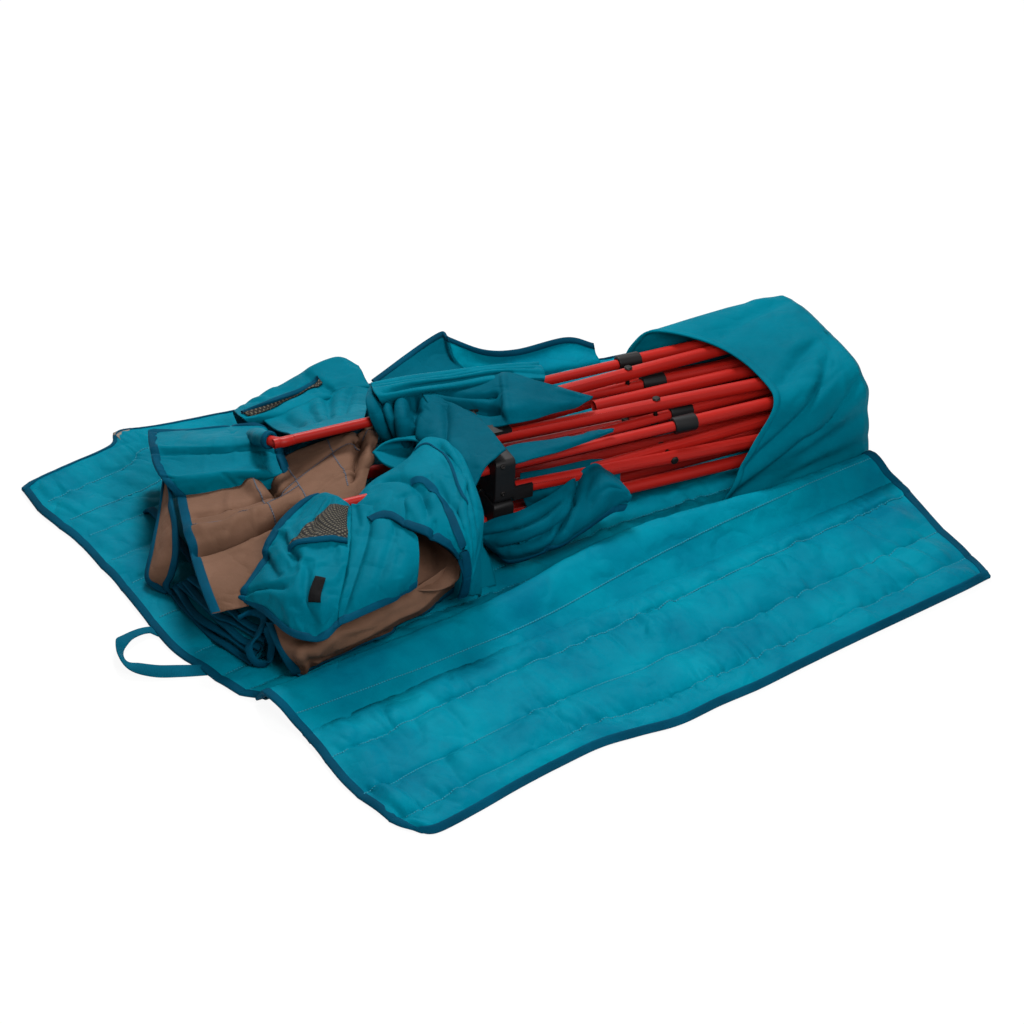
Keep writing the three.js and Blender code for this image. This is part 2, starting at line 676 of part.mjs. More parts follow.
// Webbing loop lying on the ground in front of the head edge
function handleSolid() {
  const root = -HEAD_BOW - SEAT_GAP;
  const outer = HANDLE_SPAN / 2;
  const inner = outer - WEBBING_WIDTH;
  const nose = root - HANDLE_REACH + outer;
  const shape = new THREE.Shape();
  shape.moveTo(root, HANDLE_Y - outer);
  shape.lineTo(root, HANDLE_Y - inner);
  shape.lineTo(nose, HANDLE_Y - inner);
  shape.absarc(nose, HANDLE_Y, inner, -Math.PI / 2, Math.PI / 2, true);
  shape.lineTo(root, HANDLE_Y + inner);
  shape.lineTo(root, HANDLE_Y + outer);
  shape.lineTo(nose, HANDLE_Y + outer);
  shape.absarc(nose, HANDLE_Y, outer, Math.PI / 2, 1.5 * Math.PI, false);
  const geometry = new THREE.ExtrudeGeometry(shape, {
    depth: WEBBING_THICKNESS, bevelEnabled: false, curveSegments: 10,
  });
  return solid(geometry);
}

// Flat sewn-on hook with one corner cut back to a nose
function hookSolid() {
  const half = HOOK_WIDTH / 2;
  const outline = [
    [-half, 0], [half, 0], [half, HOOK_LENGTH - HOOK_NOSE],
    [half - HOOK_NOSE, HOOK_LENGTH], [-half, HOOK_LENGTH],
  ];
  return plate(outline, HOOK_THICKNESS, 0);
}

function addWrap() {
  addPiece(wrap, 'wrap_panel', wrapPanel(), 'teal');
  addPiece(wrap, 'wrap_ridge', wrapRidge(), 'teal');
  addPiece(wrap, 'near_flap', nearFlap(), 'teal');
  addPiece(wrap, 'carry_handle', handleSolid(), 'darkTeal');
  addHood();
  const hook = hookSolid();
  for (const [name, x] of HOOK_STATIONS) {
    const mesh = addPiece(wrap, name, hook, 'steel');
    mesh.position.set(x, farEdge(x) - HOOK_LENGTH / 2, WRAP_THICKNESS + SEAT_GAP);
  }
}

// Chair cloth: closed slabs over a four-cornered plan, lifted by a height function of u and v.
// All cloth lies in the chair's own frame.

function clothPanel({ corners, across, along, thickness, height }, grow) {
  const centre = new THREE.Vector2();
  const vectors = corners.map(([x, y]) => new THREE.Vector2(x, y));
  vectors.forEach((corner) => centre.addScaledVector(corner, 1 / vectors.length));
  vectors.forEach((corner) => corner.addScaledVector(corner.clone().sub(centre).normalize(), grow));
  const rings = [];
  for (let i = 0; i <= along; i += 1) {
    const v = i / along;
    const left = vectors[0].clone().lerp(vectors[3], v);
    const right = vectors[1].clone().lerp(vectors[2], v);
    const top = [];
    const bottom = [];
    for (let k = 0; k <= across; k += 1) {
      const u = k / across;
      const spot = left.clone().lerp(right, u);
      const z = height(u, v, spot.x);
      top.push(new THREE.Vector3(spot.x, spot.y, z + thickness + 2 * grow));
      bottom.push(new THREE.Vector3(spot.x, spot.y, z - 2 * grow));
    }
    rings.push([...top, ...bottom.reverse()]);
  }
  return solid(loft(rings));
}

// Rounded soft form: rings across a spine of [x, y, z, half width, half height] stations,
// with folds that draw the skin in
function softForm({ spine, folds }, grow) {
  const centres = spine.map(([x, y, z]) => new THREE.Vector3(x, y, z));
  const last = spine.length - 1;
  const power = 2 / FORM_SQUARENESS;
  const bend = (value) => Math.sign(value) * Math.abs(value) ** power;
  const rings = spine.map(([, , , wide, tall], i) => {
    const forward = centres[Math.min(i + 1, last)].clone().sub(centres[Math.max(i - 1, 0)]);
    forward.setZ(0).normalize();
    const sideways = new THREE.Vector3(0, 0, 1).cross(forward);
    const ends = (i === last ? grow : 0) - (i === 0 ? grow : 0);
    return Array.from({ length: FORM_SIDES }, (_, k) => {
      const turn = (2 * Math.PI * k) / FORM_SIDES;
      const drawn = 1 - FOLD_DEPTH * (0.5 + 0.5 * Math.cos(folds * turn + i));
      return centres[i].clone()
        .addScaledVector(sideways, (wide * drawn + grow) * bend(Math.cos(turn)))
        .addScaledVector(forward, ends)
        .add(new THREE.Vector3(0, 0, (tall * drawn + grow) * bend(Math.sin(turn))));
    });
  });
  return solid(loft(rings));
}

// Station of a soft form that lies on the wrap
function lying(x, y, wide, tall) {
  return [x, y, groundAt(x) + tall, wide, tall];
}

// Smooth bump: 1 at the middle of its span and 0 at both ends
function bump(value, from, to) {
  const share = THREE.MathUtils.clamp((value - from) / (to - from), 0, 1);
  return Math.sin(Math.PI * share) ** 2;
}

// Posts, arm tubes and the inner face of the hubs, grown by the seating gap
function frameClearance() {
  const grown = [];
  COLUMNS.forEach((_, column) => {
    const post = geometryOf(backPostGeometry(column, TUBE_RADIUS + 2 * SEAT_GAP, false));
    grown.push(solid(post.translate(0, column * BAY_PITCH, 0)));
    if (column === 1) return;
    const start = [0, column * BAY_PITCH, BAY_PITCH];
    const tip = [-ARM_TUBE_REACH - 2 * SEAT_GAP, start[1], start[2]];
    grown.push(rod(start, tip, THIN_RADIUS + 2 * SEAT_GAP));
  });
  return fuse(grown);
}

// Height of the wrap's top under a point of the chair's frame
function groundAt(x) {
  const drop = WRAP_THICKNESS + 2 * SEAT_GAP - FOOT_Z + x * Math.sin(CHAIR_PITCH);
  return drop / Math.cos(CHAIR_PITCH);
}

const HUB_HEAD = -HUB_REACH - PAD_START - PAD_LENGTH;
const HUB_TOP = BAY_PITCH + PAD_HALF;
const POST_TOP = TUBE_RADIUS + 3;
const ARM_TIP = -ARM_TUBE_REACH;
const POST_TIP = -BACK_POST_REACH;
const FAR_Y = 2 * BAY_PITCH;

const CLOTH = {
  // Armrest sleeve over the tip of the near arm tube, drooping off the near side
  near_armrest: {
    finish: 'teal', folds: 5,
    spine: [
      [ARM_TIP + 42, 6, BAY_PITCH, 34, 18], [ARM_TIP + 5, 0, BAY_PITCH - 2, 58, 24],
      [ARM_TIP - 45, -20, BAY_PITCH - 14, 70, 26], [ARM_TIP - 85, -58, BAY_PITCH - 34, 70, 24],
      [ARM_TIP - 108, -100, BAY_PITCH - 56, 60, 20], [ARM_TIP - 118, -135, BAY_PITCH - 72, 36, 12],
    ],
  },
  // Far armrest, flopped outward onto the wrap
  far_armrest: {
    finish: 'teal', folds: 4,
    spine: [
      lying(HUB_HEAD - 4, FAR_Y + 206, 24, 22), lying(HUB_HEAD - 28, FAR_Y + 208, 50, 40),
      lying(HUB_HEAD - 88, FAR_Y + 202, 58, 46), lying(HUB_HEAD - 148, FAR_Y + 190, 54, 42),
      lying(HUB_HEAD - 198, FAR_Y + 180, 40, 32), lying(HUB_HEAD - 220, FAR_Y + 176, 22, 18),
    ],
  },
  // Loose loop of seat cloth round the near arm tube beside the hub
  seat_fold: {
    finish: 'teal', folds: 6,
    spine: [
      [HUB_HEAD - 34, 135, BAY_PITCH - 14, 24, 14], [HUB_HEAD - 44, 100, BAY_PITCH - 12, 38, 30],
      [HUB_HEAD - 74, 40, BAY_PITCH - 12, 66, 40], [HUB_HEAD - 88, -20, BAY_PITCH - 18, 78, 48],
      [HUB_HEAD - 93, -70, BAY_PITCH - 32, 70, 46], [HUB_HEAD - 88, -112, BAY_PITCH - 48, 44, 30],
      [HUB_HEAD - 86, -132, BAY_PITCH - 56, 24, 14],
    ],
  },
  // Rolled side cloth over the far and middle front hubs, with its pointed corner on the bars
  rolled_skirt: {
    finish: 'teal', folds: 3,
    spine: [
      [HUB_HEAD - 74, FAR_Y + 47, HUB_TOP + 13, 16, 8],
      [HUB_HEAD - 44, FAR_Y + 40, HUB_TOP + 14, 32, 13],
      [HUB_HEAD + 21, FAR_Y + 12, HUB_TOP + 15, 46, 14.5],
      [HUB_HEAD + 81, FAR_Y - 28, HUB_TOP + 14, 60, 13.5],
      [HUB_HEAD + 141, FAR_Y - 58, HUB_TOP + 12, 56, 11.5],
      [HUB_HEAD + 186, FAR_Y - 78, HUB_TOP + 8, 30, 7],
    ],
  },
  // Stuffed corner of the back over the head of the far post
  corner_sleeve: {
    finish: 'teal', folds: 4,
    spine: [
      [POST_TIP - 72, FAR_Y + 107, POST_RAKE - 2, 40, 12],
      [POST_TIP - 50, FAR_Y + 110, POST_RAKE - 2, 70, 22],
      [POST_TIP + 10, FAR_Y + 100, POST_RAKE - 2, 78, 27],
      [POST_TIP + 70, FAR_Y + 87, POST_RAKE - 2, 76, 25],
      [POST_TIP + 100, FAR_Y + 82, POST_RAKE - 4, 66, 18],
      [POST_TIP + 112, FAR_Y + 80, POST_RAKE - 6, 40, 10],
    ],
  },
  // Quilted pad hanging in folds over the three back posts
  back_pad: {
    finish: 'brown', across: 9, along: 7, thickness: CLOTH_THICKNESS + 4,
    corners: [
      [HUB_HEAD - 60, -10], [HUB_HEAD - 50, FAR_Y + 22],
      [POST_TIP - 58, FAR_Y + 26], [POST_TIP - 110, -75],
    ],
    height: (u, v) => POST_TOP + 20 * bump(u, 0.35, 0.95) * (1 - v)
      + 12 * bump(v, 0, 0.4) + 14 * bump(v, 0.5, 1),
  },
  // Lower fold of the pad, lying on the wrap at the near side
  lower_pad: {
    finish: 'brown', folds: 5,
    spine: [
      lying(HUB_HEAD - 64, -42, 20, 16),
      lying(HUB_HEAD - 100, -54, 36, 28),
      lying(HUB_HEAD - 180, -84, 46, 36),
      lying(HUB_HEAD - 260, -106, 50, 36),
      lying(HUB_HEAD - 330, -122, 46, 30),
      lying(HUB_HEAD - 366, -128, 26, 14),
    ],
  },
  // Skirt hanging beside the near hub
  near_skirt: {
    finish: 'teal', folds: 4,
    spine: [
      lying(HUB_HEAD - 48, -72, 14, 12),
      lying(HUB_HEAD - 18, -66, 30, 36),
      lying(HUB_HEAD + 52, -62, 32, 46),
      lying(HUB_HEAD + 122, -56, 26, 44),
      lying(HUB_HEAD + 182, -48, 18, 34),
      lying(HUB_HEAD + 216, -42, 10, 14),
    ],
  },
  // Folded skirt under the posts, lying on the wrap and spilling out past the far post
  under_fold: {
    finish: 'teal', across: 9, along: 5, thickness: 3 * CLOTH_THICKNESS,
    corners: [
      [HUB_HEAD - 20, -52], [HUB_HEAD - 20, FAR_Y + 125],
      [POST_TIP - 60, FAR_Y + 100], [POST_TIP - 95, -70],
    ],
    height: (u, v, x) => groundAt(x)
      + (8 * bump(u, 0.1, 0.35) + 9 * bump(u, 0.4, 0.65)) * (1 - v)
      + 6 * bump(u, 0.65, 1) * (1 - v),
  },
};

function clothForm(form, grow) {
  return form.spine ? softForm(form, grow) : clothPanel(form, grow);
}

function largestBody(body) {
  return body.decompose().reduce((most, one) => (one.volume() > most.volume() ? one : most));
}

// Each piece gives way to the frame and to the pieces listed before it
function addCloth() {
  let taken = frameClearance();
  for (const [name, form] of Object.entries(CLOTH)) {
    addPiece(chair, name, largestBody(clothForm(form, 0).subtract(taken)), form.finish);
    taken = taken.add(clothForm(form, CLOTH_GAP));
  }
}

addBlocks();
addPosts();
for (const pair of SCISSORS) addScissor(pair);
addWrap();
addCloth();

// Origin under the middle of the whole part
part.updateMatrixWorld(true);
const bounds = new THREE.Box3().setFromObject(part, true);
const middle = bounds.getCenter(new THREE.Vector3());
part.position.set(-middle.x, -middle.y, -bounds.min.z);
part.updateMatrixWorld(true);

export default part;
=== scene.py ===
"""Looks for a folding camping loveseat that lies folded on its opened carry wrap."""
import math

import bpy
import numpy as np
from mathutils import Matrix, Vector, noise


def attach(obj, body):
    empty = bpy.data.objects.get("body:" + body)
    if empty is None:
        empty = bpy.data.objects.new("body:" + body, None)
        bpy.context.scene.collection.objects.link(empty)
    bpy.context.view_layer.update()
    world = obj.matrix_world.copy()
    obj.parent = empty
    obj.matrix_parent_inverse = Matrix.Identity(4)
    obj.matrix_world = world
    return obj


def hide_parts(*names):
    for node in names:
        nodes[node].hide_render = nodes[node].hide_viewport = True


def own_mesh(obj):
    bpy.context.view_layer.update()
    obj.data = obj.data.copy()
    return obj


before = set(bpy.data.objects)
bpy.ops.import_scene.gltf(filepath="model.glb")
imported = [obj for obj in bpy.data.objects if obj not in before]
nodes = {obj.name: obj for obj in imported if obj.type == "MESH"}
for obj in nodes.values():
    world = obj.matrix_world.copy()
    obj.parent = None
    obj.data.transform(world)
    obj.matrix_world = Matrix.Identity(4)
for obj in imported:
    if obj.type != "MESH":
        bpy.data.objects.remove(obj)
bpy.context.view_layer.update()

# The photograph's camera
IMAGE_SIZE = 1024
AZIMUTH = math.radians(-36)
ELEVATION = math.radians(35)
FOCAL_PIXELS = 6000
DISTANCE = 8.108
SENSOR = 36.0
LOOK_AT = np.array([0.0, 0.0, 0.05])
LOOK_PIXEL = (475.2, 505.2)

BACK = np.array([
    math.sin(AZIMUTH) * math.cos(ELEVATION),
    -math.cos(AZIMUTH) * math.cos(ELEVATION),
    math.sin(ELEVATION),
])
RIGHT = np.array([math.cos(AZIMUTH), math.sin(AZIMUTH), 0.0])
UP = np.cross(BACK, RIGHT)
PER_PIXEL = DISTANCE / FOCAL_PIXELS
AIM = (
    LOOK_AT
    + RIGHT * (IMAGE_SIZE / 2 - LOOK_PIXEL[0]) * PER_PIXEL
    - UP * (IMAGE_SIZE / 2 - LOOK_PIXEL[1]) * PER_PIXEL
)
EYE = AIM + BACK * DISTANCE

MM = 0.001
TINY = 1e-9

# The wrap's near head corner in the row frame, and how the folded chair lies on the wrap
WRAP_ORIGIN = np.array([-0.4385, -0.4855, 0.0])
CHAIR_YAW = math.radians(-10)
CHAIR_PITCH = math.radians(2.5)
CHAIR_FOOT_Z = 33.5

# No cloth of the chair lies lower than this on the wrap
GROUND = 0.007


def seen(px, py, height):
    """The point, height millimetres above the floor, that shows at this pixel of the photograph."""
    across = (px - IMAGE_SIZE / 2) / FOCAL_PIXELS
    rise = -(py - IMAGE_SIZE / 2) / FOCAL_PIXELS
    ray = RIGHT * across + UP * rise - BACK
    reach = (height * MM - EYE[2]) / ray[2]
    return EYE + ray * reach


def on_wrap(x, y, z):
    """A point given in millimetres from the wrap's near head corner."""
    return WRAP_ORIGIN + np.array([x, y, z]) * MM


def line_seen(points):
    """Points from a row of (pixel x, pixel y, height)."""
    return np.array([seen(*point) for point in points])


FOOT_SPOT = on_wrap(915, 352, 6)


def on_chair(x, y, z):
    """A point in millimetres in the frame of the folded chair's foot end."""
    c = math.cos(CHAIR_YAW)
    s = math.sin(CHAIR_YAW)
    return FOOT_SPOT + np.array([x * c - y * s, x * s + y * c, z]) * MM


def in_chair(x, y, z):
    """A point in millimetres in the folded chair's own tilted frame."""
    c = math.cos(CHAIR_PITCH)
    s = math.sin(CHAIR_PITCH)
    flat = on_chair(x * c + z * s, y, 0)
    flat[2] = (CHAIR_FOOT_Z - x * s + z * c) * MM
    return flat


# Smooth curves and grids


def curve(points, count):
    """A smooth run of count points through the given ones."""
    p = np.array(points, float)
    last = len(p) - 1
    t = np.linspace(0, last, count)
    i = np.clip(np.floor(t).astype(int), 0, last - 1)
    f = (t - i).reshape(-1, *([1] * (p.ndim - 1)))
    b = p[i]
    c = p[i + 1]
    first = (i == 0).reshape(f.shape)
    final = (i == last - 1).reshape(f.shape)
    a = np.where(first, 2 * b - c, p[np.maximum(i - 1, 0)])
    d = np.where(final, 2 * c - b, p[np.minimum(i + 2, last)])
    return 0.5 * (
        2 * b + (c - a) * f
        + (2 * a - 5 * b + 4 * c - d) * f**2
        + (3 * b - a - 3 * c + d) * f**3
    )


def patch(rows, down, across):
    """A dense grid of points through a coarse one."""
    grid = np.array(rows, float)
    wide = np.swapaxes(curve(np.swapaxes(grid, 0, 1), across), 0, 1)
    return curve(wide, down)


def lengths(grid, axis):
    """Distance along one side of a grid, averaged over the other side."""
    steps = np.linalg.norm(np.diff(grid, axis=axis), axis=2).mean(axis=1 - axis)
    return np.concatenate([[0], np.cumsum(steps)])


def normals(grid):
    """Unit normals of a grid, on the side that faces up."""
    down = np.gradient(grid, axis=0)
    across = np.gradient(grid, axis=1)
    n = np.cross(across, down)
    n /= np.maximum(np.linalg.norm(n, axis=2, keepdims=True), TINY)
    return n if n[..., 2].mean() > 0 else -n


def cloth_coordinates(grid):
    """How far along the cloth, across and down, each point of a grid lies, in metres."""
    return np.meshgrid(lengths(grid, 1), lengths(grid, 0))


SEED_STEP = 7.31


def noise_field(u, v, scale, seed, stretch=1.0):
    """Smooth noise over the cloth, from -1 to 1. Stretch draws it out along v."""
    flat = np.stack([u.ravel() / scale, v.ravel() / (scale * stretch)], axis=1)
    values = [noise.noise(Vector((a, b, seed * SEED_STEP))) for a, b in flat]
    return np.array(values).reshape(u.shape)


def rumple(grid, amount, scale, seed, stretch=1.0):
    """Moves a grid along its normals by soft noise with sharper crests, as slack cloth lies."""
    u, v = cloth_coordinates(grid)
    soft = noise_field(u, v, scale, seed, stretch)
    crest = 1 - 2 * np.abs(noise_field(u, v, scale * 1.7, seed + 3, stretch))
    lift = amount * MM * (0.6 * soft + 0.4 * crest)
    return grid + normals(grid) * lift[..., None]


# Shares of a crease's length: how far it runs past its ends, and over what it fades there
CREASE_PAST = 0.12
CREASE_FADE = 0.2


def crease(grid, start, end, depth, width):
    """Presses a line into a grid between two places given as shares of the way across and down."""
    u, v = cloth_coordinates(grid)
    size = np.array([u.max(), v.max()])
    a = np.array(start) * size
    b = np.array(end) * size
    along = b - a
    share = ((u - a[0]) * along[0] + (v - a[1]) * along[1]) / max(along @ along, TINY)
    near = np.clip(share, 0, 1)
    gap = np.hypot(u - a[0] - near * along[0], v - a[1] - near * along[1])
    fade = np.clip(np.minimum(share + CREASE_PAST, 1 + CREASE_PAST - share) / CREASE_FADE, 0, 1)
    drop = depth * MM * np.exp(-((gap / (width * MM)) ** 2)) * fade
    return grid - normals(grid) * drop[..., None]


def wrinkles(grid, count, depth, width, seed, lean=0.0, stray=1.3):
    """Scatters short creases over a grid. Lean is their usual direction and stray how far they leave it."""
    rng = np.random.default_rng(seed)
    for _ in range(count):
        u, v = rng.uniform(0.02, 0.98, 2)
        turn = lean + rng.uniform(-stray, stray)
        reach = rng.uniform(0.1, 0.32)
        end = np.clip([u + reach * math.cos(turn), v + reach * math.sin(turn)], 0.0, 1.0)
        sink = depth * rng.uniform(0.4, 1.0) * rng.choice((-1.0, 1.0))
        grid = crease(grid, (u, v), end, sink, width * rng.uniform(0.7, 1.4))
    return grid


def draped(rows, down, across, creases=(), slack=(), scatter=None):
    """A dense grid of cloth through rows of (pixel x, pixel y, height).

    Creases, slack and scatter hold what crease, rumple and wrinkles are given, and are worked in that order.
    """
    grid = patch([line_seen(row) for row in rows], down, across)
    for values in creases:
        grid = crease(grid, *values)
    for values in slack:
        grid = rumple(grid, *values)
    return wrinkles(grid, *scatter) if scatter else grid


# Meshes


def add_object(name, vertices, faces, material):
    mesh = bpy.data.meshes.new(name)
    mesh.from_pydata([tuple(v) for v in vertices], [], faces)
    mesh.validate()
    mesh.polygons.foreach_set("use_smooth", [True] * len(mesh.polygons))
    mesh.materials.append(material)
    obj = bpy.data.objects.new(name, mesh)
    bpy.context.scene.collection.objects.link(obj)
    return obj


def grid_faces(down, across):
    faces = []
    for i in range(down - 1):
        for k in range(across - 1):
            a = i * across + k
            faces.append((a, a + 1, a + across + 1, a + across))
    return faces


def lay_uv(obj, u, v):
    """Gives a grid mesh coordinates in metres of cloth, so a weave has its real size."""
    layer = obj.data.uv_layers.new(name="cloth")
    flat_u = u.ravel()
    flat_v = v.ravel()
    for loop in obj.data.loops:
        layer.data[loop.index].uv = (flat_u[loop.vertex_index], flat_v[loop.vertex_index])


def sheet_object(name, grid, material, thickness):
    """A sheet of cloth over a dense grid of points."""
    down, across = grid.shape[:2]
    obj = add_object(name, grid.reshape(-1, 3), grid_faces(down, across), material)
    lay_uv(obj, *cloth_coordinates(grid))
    solid = obj.modifiers.new("thickness", "SOLIDIFY")
    solid.thickness = thickness * MM
    solid.offset = 0
    return obj


def sweep(name, line, first, second, section, material):
    """A capped tube along a line. Its section is in millimetres, along two directions at each point."""
    line = np.array(line)
    section = np.array(section) * MM
    count = len(section)
    rings = (
        line[:, None]
        + section[None, :, :1] * first[:, None]
        + section[None, :, 1:] * second[:, None]
    )
    faces = []
    for i in range(len(line) - 1):
        for k in range(count):
            n = (k + 1) % count
            faces.append((i * count + k, (i + 1) * count + k, (i + 1) * count + n, i * count + n))
    faces.append(tuple(range(count - 1, -1, -1)))
    faces.append(tuple((len(line) - 1) * count + k for k in range(count)))
    obj = add_object(name, rings.reshape(-1, 3), faces, material)
    along = np.concatenate([[0], np.cumsum(np.linalg.norm(np.diff(line, axis=0), axis=1))])
    ring = np.concatenate([[0], np.cumsum(np.linalg.norm(np.diff(section, axis=0), axis=1))])
    v, u = np.meshgrid(along, ring, indexing="ij")
    lay_uv(obj, u, v)
    return obj


def unit(vectors):
    return vectors / np.maximum(np.linalg.norm(vectors, axis=-1, keepdims=True), TINY)


def frames(line, up):
    """Sideways and upward directions along a line, as square to it as up allows."""
    forward = unit(np.gradient(np.array(line), axis=0))
    up = np.broadcast_to(np.array(up, float), forward.shape)
    side = unit(np.cross(forward, up))
    return side, unit(np.cross(side, forward))


def tape_section(width, thick, lip):
    """Binding folded over an edge, inward along the first direction."""
    h = thick / 2
    upper = [
        (-lip * 0.6, h * 0.8), (0, h), (width * 0.5, h * 1.15), (width * 0.94, h), (width, h * 0.35),
    ]
    lower = [(x, -y) for x, y in reversed(upper)]
    return [(-lip, 0), *upper, *lower]


def border(grid, side):
    """The points along one side of a grid, with the directions into the cloth and out of its face."""
    face = normals(grid)
    if side in ("left", "right"):
        grid = grid.swapaxes(0, 1)
        face = face.swapaxes(0, 1)
    edge, inner = (0, 1) if side in ("top", "left") else (-1, -2)
    return grid[edge], unit(grid[inner] - grid[edge]), face[edge]


TAPE_LIP = 1.4


def bind(name, grid, side, width, thick, material=None):
    """Edge binding sewn along one side of a sheet."""
    line, inward, out = border(grid, side)
    return sweep(name, line, inward, out, tape_section(width, thick, TAPE_LIP), material or binding)


def round_section(radius, sides):
    turns = [2 * math.pi * k / sides for k in range(sides)]
    return [(radius * math.cos(t), radius * math.sin(t)) for t in turns]


def flat_section(width, thick):
    w = width / 2
    h = thick / 2
    return [(-w, -h * 0.6), (-w * 0.9, -h), (w * 0.9, -h), (w, -h * 0.6),
            (w, h * 0.6), (w * 0.9, h), (-w * 0.9, h), (-w, h * 0.6)]


def on_grid(grid, places, count, lift):
    """A line over a grid through places given as shares across and down, raised from its face."""
    shares = curve(np.array(places, float), count)
    face = normals(grid)
    down = np.clip(shares[:, 1], 0, 1) * (grid.shape[0] - 1)
    across = np.clip(shares[:, 0], 0, 1) * (grid.shape[1] - 1)
    i = np.minimum(down.astype(int), grid.shape[0] - 2)
    k = np.minimum(across.astype(int), grid.shape[1] - 2)
    a = (down - i)[:, None]
    b = (across - k)[:, None]

    def mix(values):
        upper = values[i, k] * (1 - b) + values[i, k + 1] * b
        lower = values[i + 1, k] * (1 - b) + values[i + 1, k + 1] * b
        return upper * (1 - a) + lower * a

    out = unit(mix(face))
    return mix(grid) + out * lift * MM, out


THREAD_THICK = 0.7


def stitching(name, grid, places, material, width, lift, count):
    """A sewn line of flat thread or tape, just above the face of a sheet."""
    line, out = on_grid(grid, places, count, lift)
    side = unit(np.cross(unit(np.gradient(line, axis=0)), out))
    return sweep(name, line, side, out, flat_section(width, THREAD_THICK), material)


# Materials


def linear(red, green, blue):
    """An 8-bit colour as linear light, with full alpha."""
    def one(value):
        share = value / 255
        return share / 12.92 if share <= 0.04045 else ((share + 0.055) / 1.055) ** 2.4
    return (one(red), one(green), one(blue), 1.0)


class Nodes:
    """Adds and joins shader nodes of one material."""

    def __init__(self, name):
        self.material = bpy.data.materials.new(name)
        self.material.use_nodes = True
        self.tree = self.material.node_tree
        self.shader = self.tree.nodes["Principled BSDF"]

    def add(self, kind, **settings):
        node = self.tree.nodes.new(kind)
        for key, value in settings.items():
            setattr(node, key, value)
        return node

    def join(self, source, target):
        self.tree.links.new(source, target)

    def give(self, socket, value):
        """Sets a socket to a constant, or joins another node's output to it."""
        if isinstance(value, (int, float, tuple)):
            socket.default_value = value
        else:
            self.join(value, socket)

    def node(self, kind, output, inputs, **settings):
        """Adds a node, feeds its named inputs and gives one of its outputs."""
        node = self.add(kind, **settings)
        for key, value in inputs.items():
            self.give(node.inputs[key], value)
        return node.outputs[output]

    def place(self, coordinates, scale=(1, 1, 1), turn=0.0):
        source = self.add("ShaderNodeTexCoord").outputs[coordinates]
        inputs = {"Vector": source, "Scale": scale, "Rotation": (0, 0, turn)}
        return self.node("ShaderNodeMapping", "Vector", inputs)

    def wave(self, vector, direction, scale):
        return self.node("ShaderNodeTexWave", "Fac", {"Vector": vector, "Scale": scale},
                         wave_type="BANDS", bands_direction=direction)

    def noise(self, vector, scale, detail=3.0, roughness=0.5):
        inputs = {"Vector": vector, "Scale": scale, "Detail": detail, "Roughness": roughness}
        return self.node("ShaderNodeTexNoise", "Fac", inputs)

    def ramp(self, source, low, high, start=0.3, end=0.7):
        node = self.add("ShaderNodeValToRGB")
        node.color_ramp.elements[0].position = start
        node.color_ramp.elements[0].color = low
        node.color_ramp.elements[1].position = end
        node.color_ramp.elements[1].color = high
        self.join(source, node.inputs["Fac"])
        return node.outputs["Color"]

    def math(self, operation, a, b):
        node = self.add("ShaderNodeMath", operation=operation)
        for socket, value in zip(node.inputs, (a, b)):
            self.give(socket, value)
        return node.outputs["Value"]

    def blend(self, kind, share, a, b):
        node = self.add("ShaderNodeMix", data_type="RGBA", blend_type=kind)
        sockets = [s for s in node.inputs if s.enabled]
        for socket, value in zip(sockets, (share, a, b)):
            self.give(socket, value)
        return next(s for s in node.outputs if s.enabled)

    def spread(self, source, low, high):
        return self.node("ShaderNodeMapRange", "Result", {"Value": source, "To Min": low, "To Max": high})

    def bump(self, height, strength, distance, under=None):
        inputs = {"Height": height, "Strength": strength, "Distance": distance}
        if under is not None:
            inputs["Normal"] = under
        return self.node("ShaderNodeBump", "Normal", inputs)

    def set(self, **values):
        for key, value in values.items():
            self.give(self.shader.inputs[key.replace("_", " ")], value)


# Scale of a wave texture whose bands are a metre apart, and pitches in millimetres
WAVE_PERIOD = 2 * math.pi / 20
STITCH_PITCH = 4.0
NET_PITCH = 4.2
TWILL_PITCH = 0.9


def woven(name, dark, light, pitch, tint, roughness, wrinkle):
    """Cloth with a plain weave of the given pitch in millimetres, blotches between the dark and light
    colours, and fine wrinkles. The blotches are partly uneven dye and partly painted light and shade.
    """
    n = Nodes(name)
    vector = n.place("UV")
    scale = WAVE_PERIOD / (pitch * MM)
    weave = n.math("MULTIPLY", n.wave(vector, "X", scale), n.wave(vector, "Y", scale))
    # Blotches between the dark and light colours: partly uneven dye, partly painted light and shade of the
    # cloth's facets
    cloud = n.noise(n.place("Object"), 9.0, 4.0, 0.55)
    slub = n.noise(n.place("UV", (1, 0.08, 1)), 700.0, 2.0)
    colour = n.ramp(cloud, linear(*dark), linear(*light))
    threads = n.ramp(n.math("ADD", n.math("MULTIPLY", weave, 0.6), n.math("MULTIPLY", slub, 0.4)),
                     (0.72, 0.72, 0.72, 1), (1.0, 1.0, 1.0, 1), 0.1, 0.8)
    n.set(Base_Color=n.blend("MULTIPLY", 0.55, colour, threads))
    n.set(Roughness=n.spread(n.noise(n.place("Object"), 40.0, 2.0), roughness - 0.08, roughness + 0.08))
    folds = n.noise(n.place("Object"), 34.0, 3.0, 0.45)
    lines = n.math("ABSOLUTE", n.math("SUBTRACT", n.noise(n.place("Object"), 17.0, 2.0, 0.4), 0.5), 0.0)
    crumple = n.ramp(lines, (0, 0, 0, 1), (1, 1, 1, 1), 0.0, 0.09)
    soft = n.bump(crumple, wrinkle * 0.7, 0.003, n.bump(folds, wrinkle, 0.006))
    n.set(Normal=n.bump(weave, 0.35, 0.0004, soft))
    n.set(Specular_IOR_Level=0.04, Specular_Tint=tint)
    return n.material


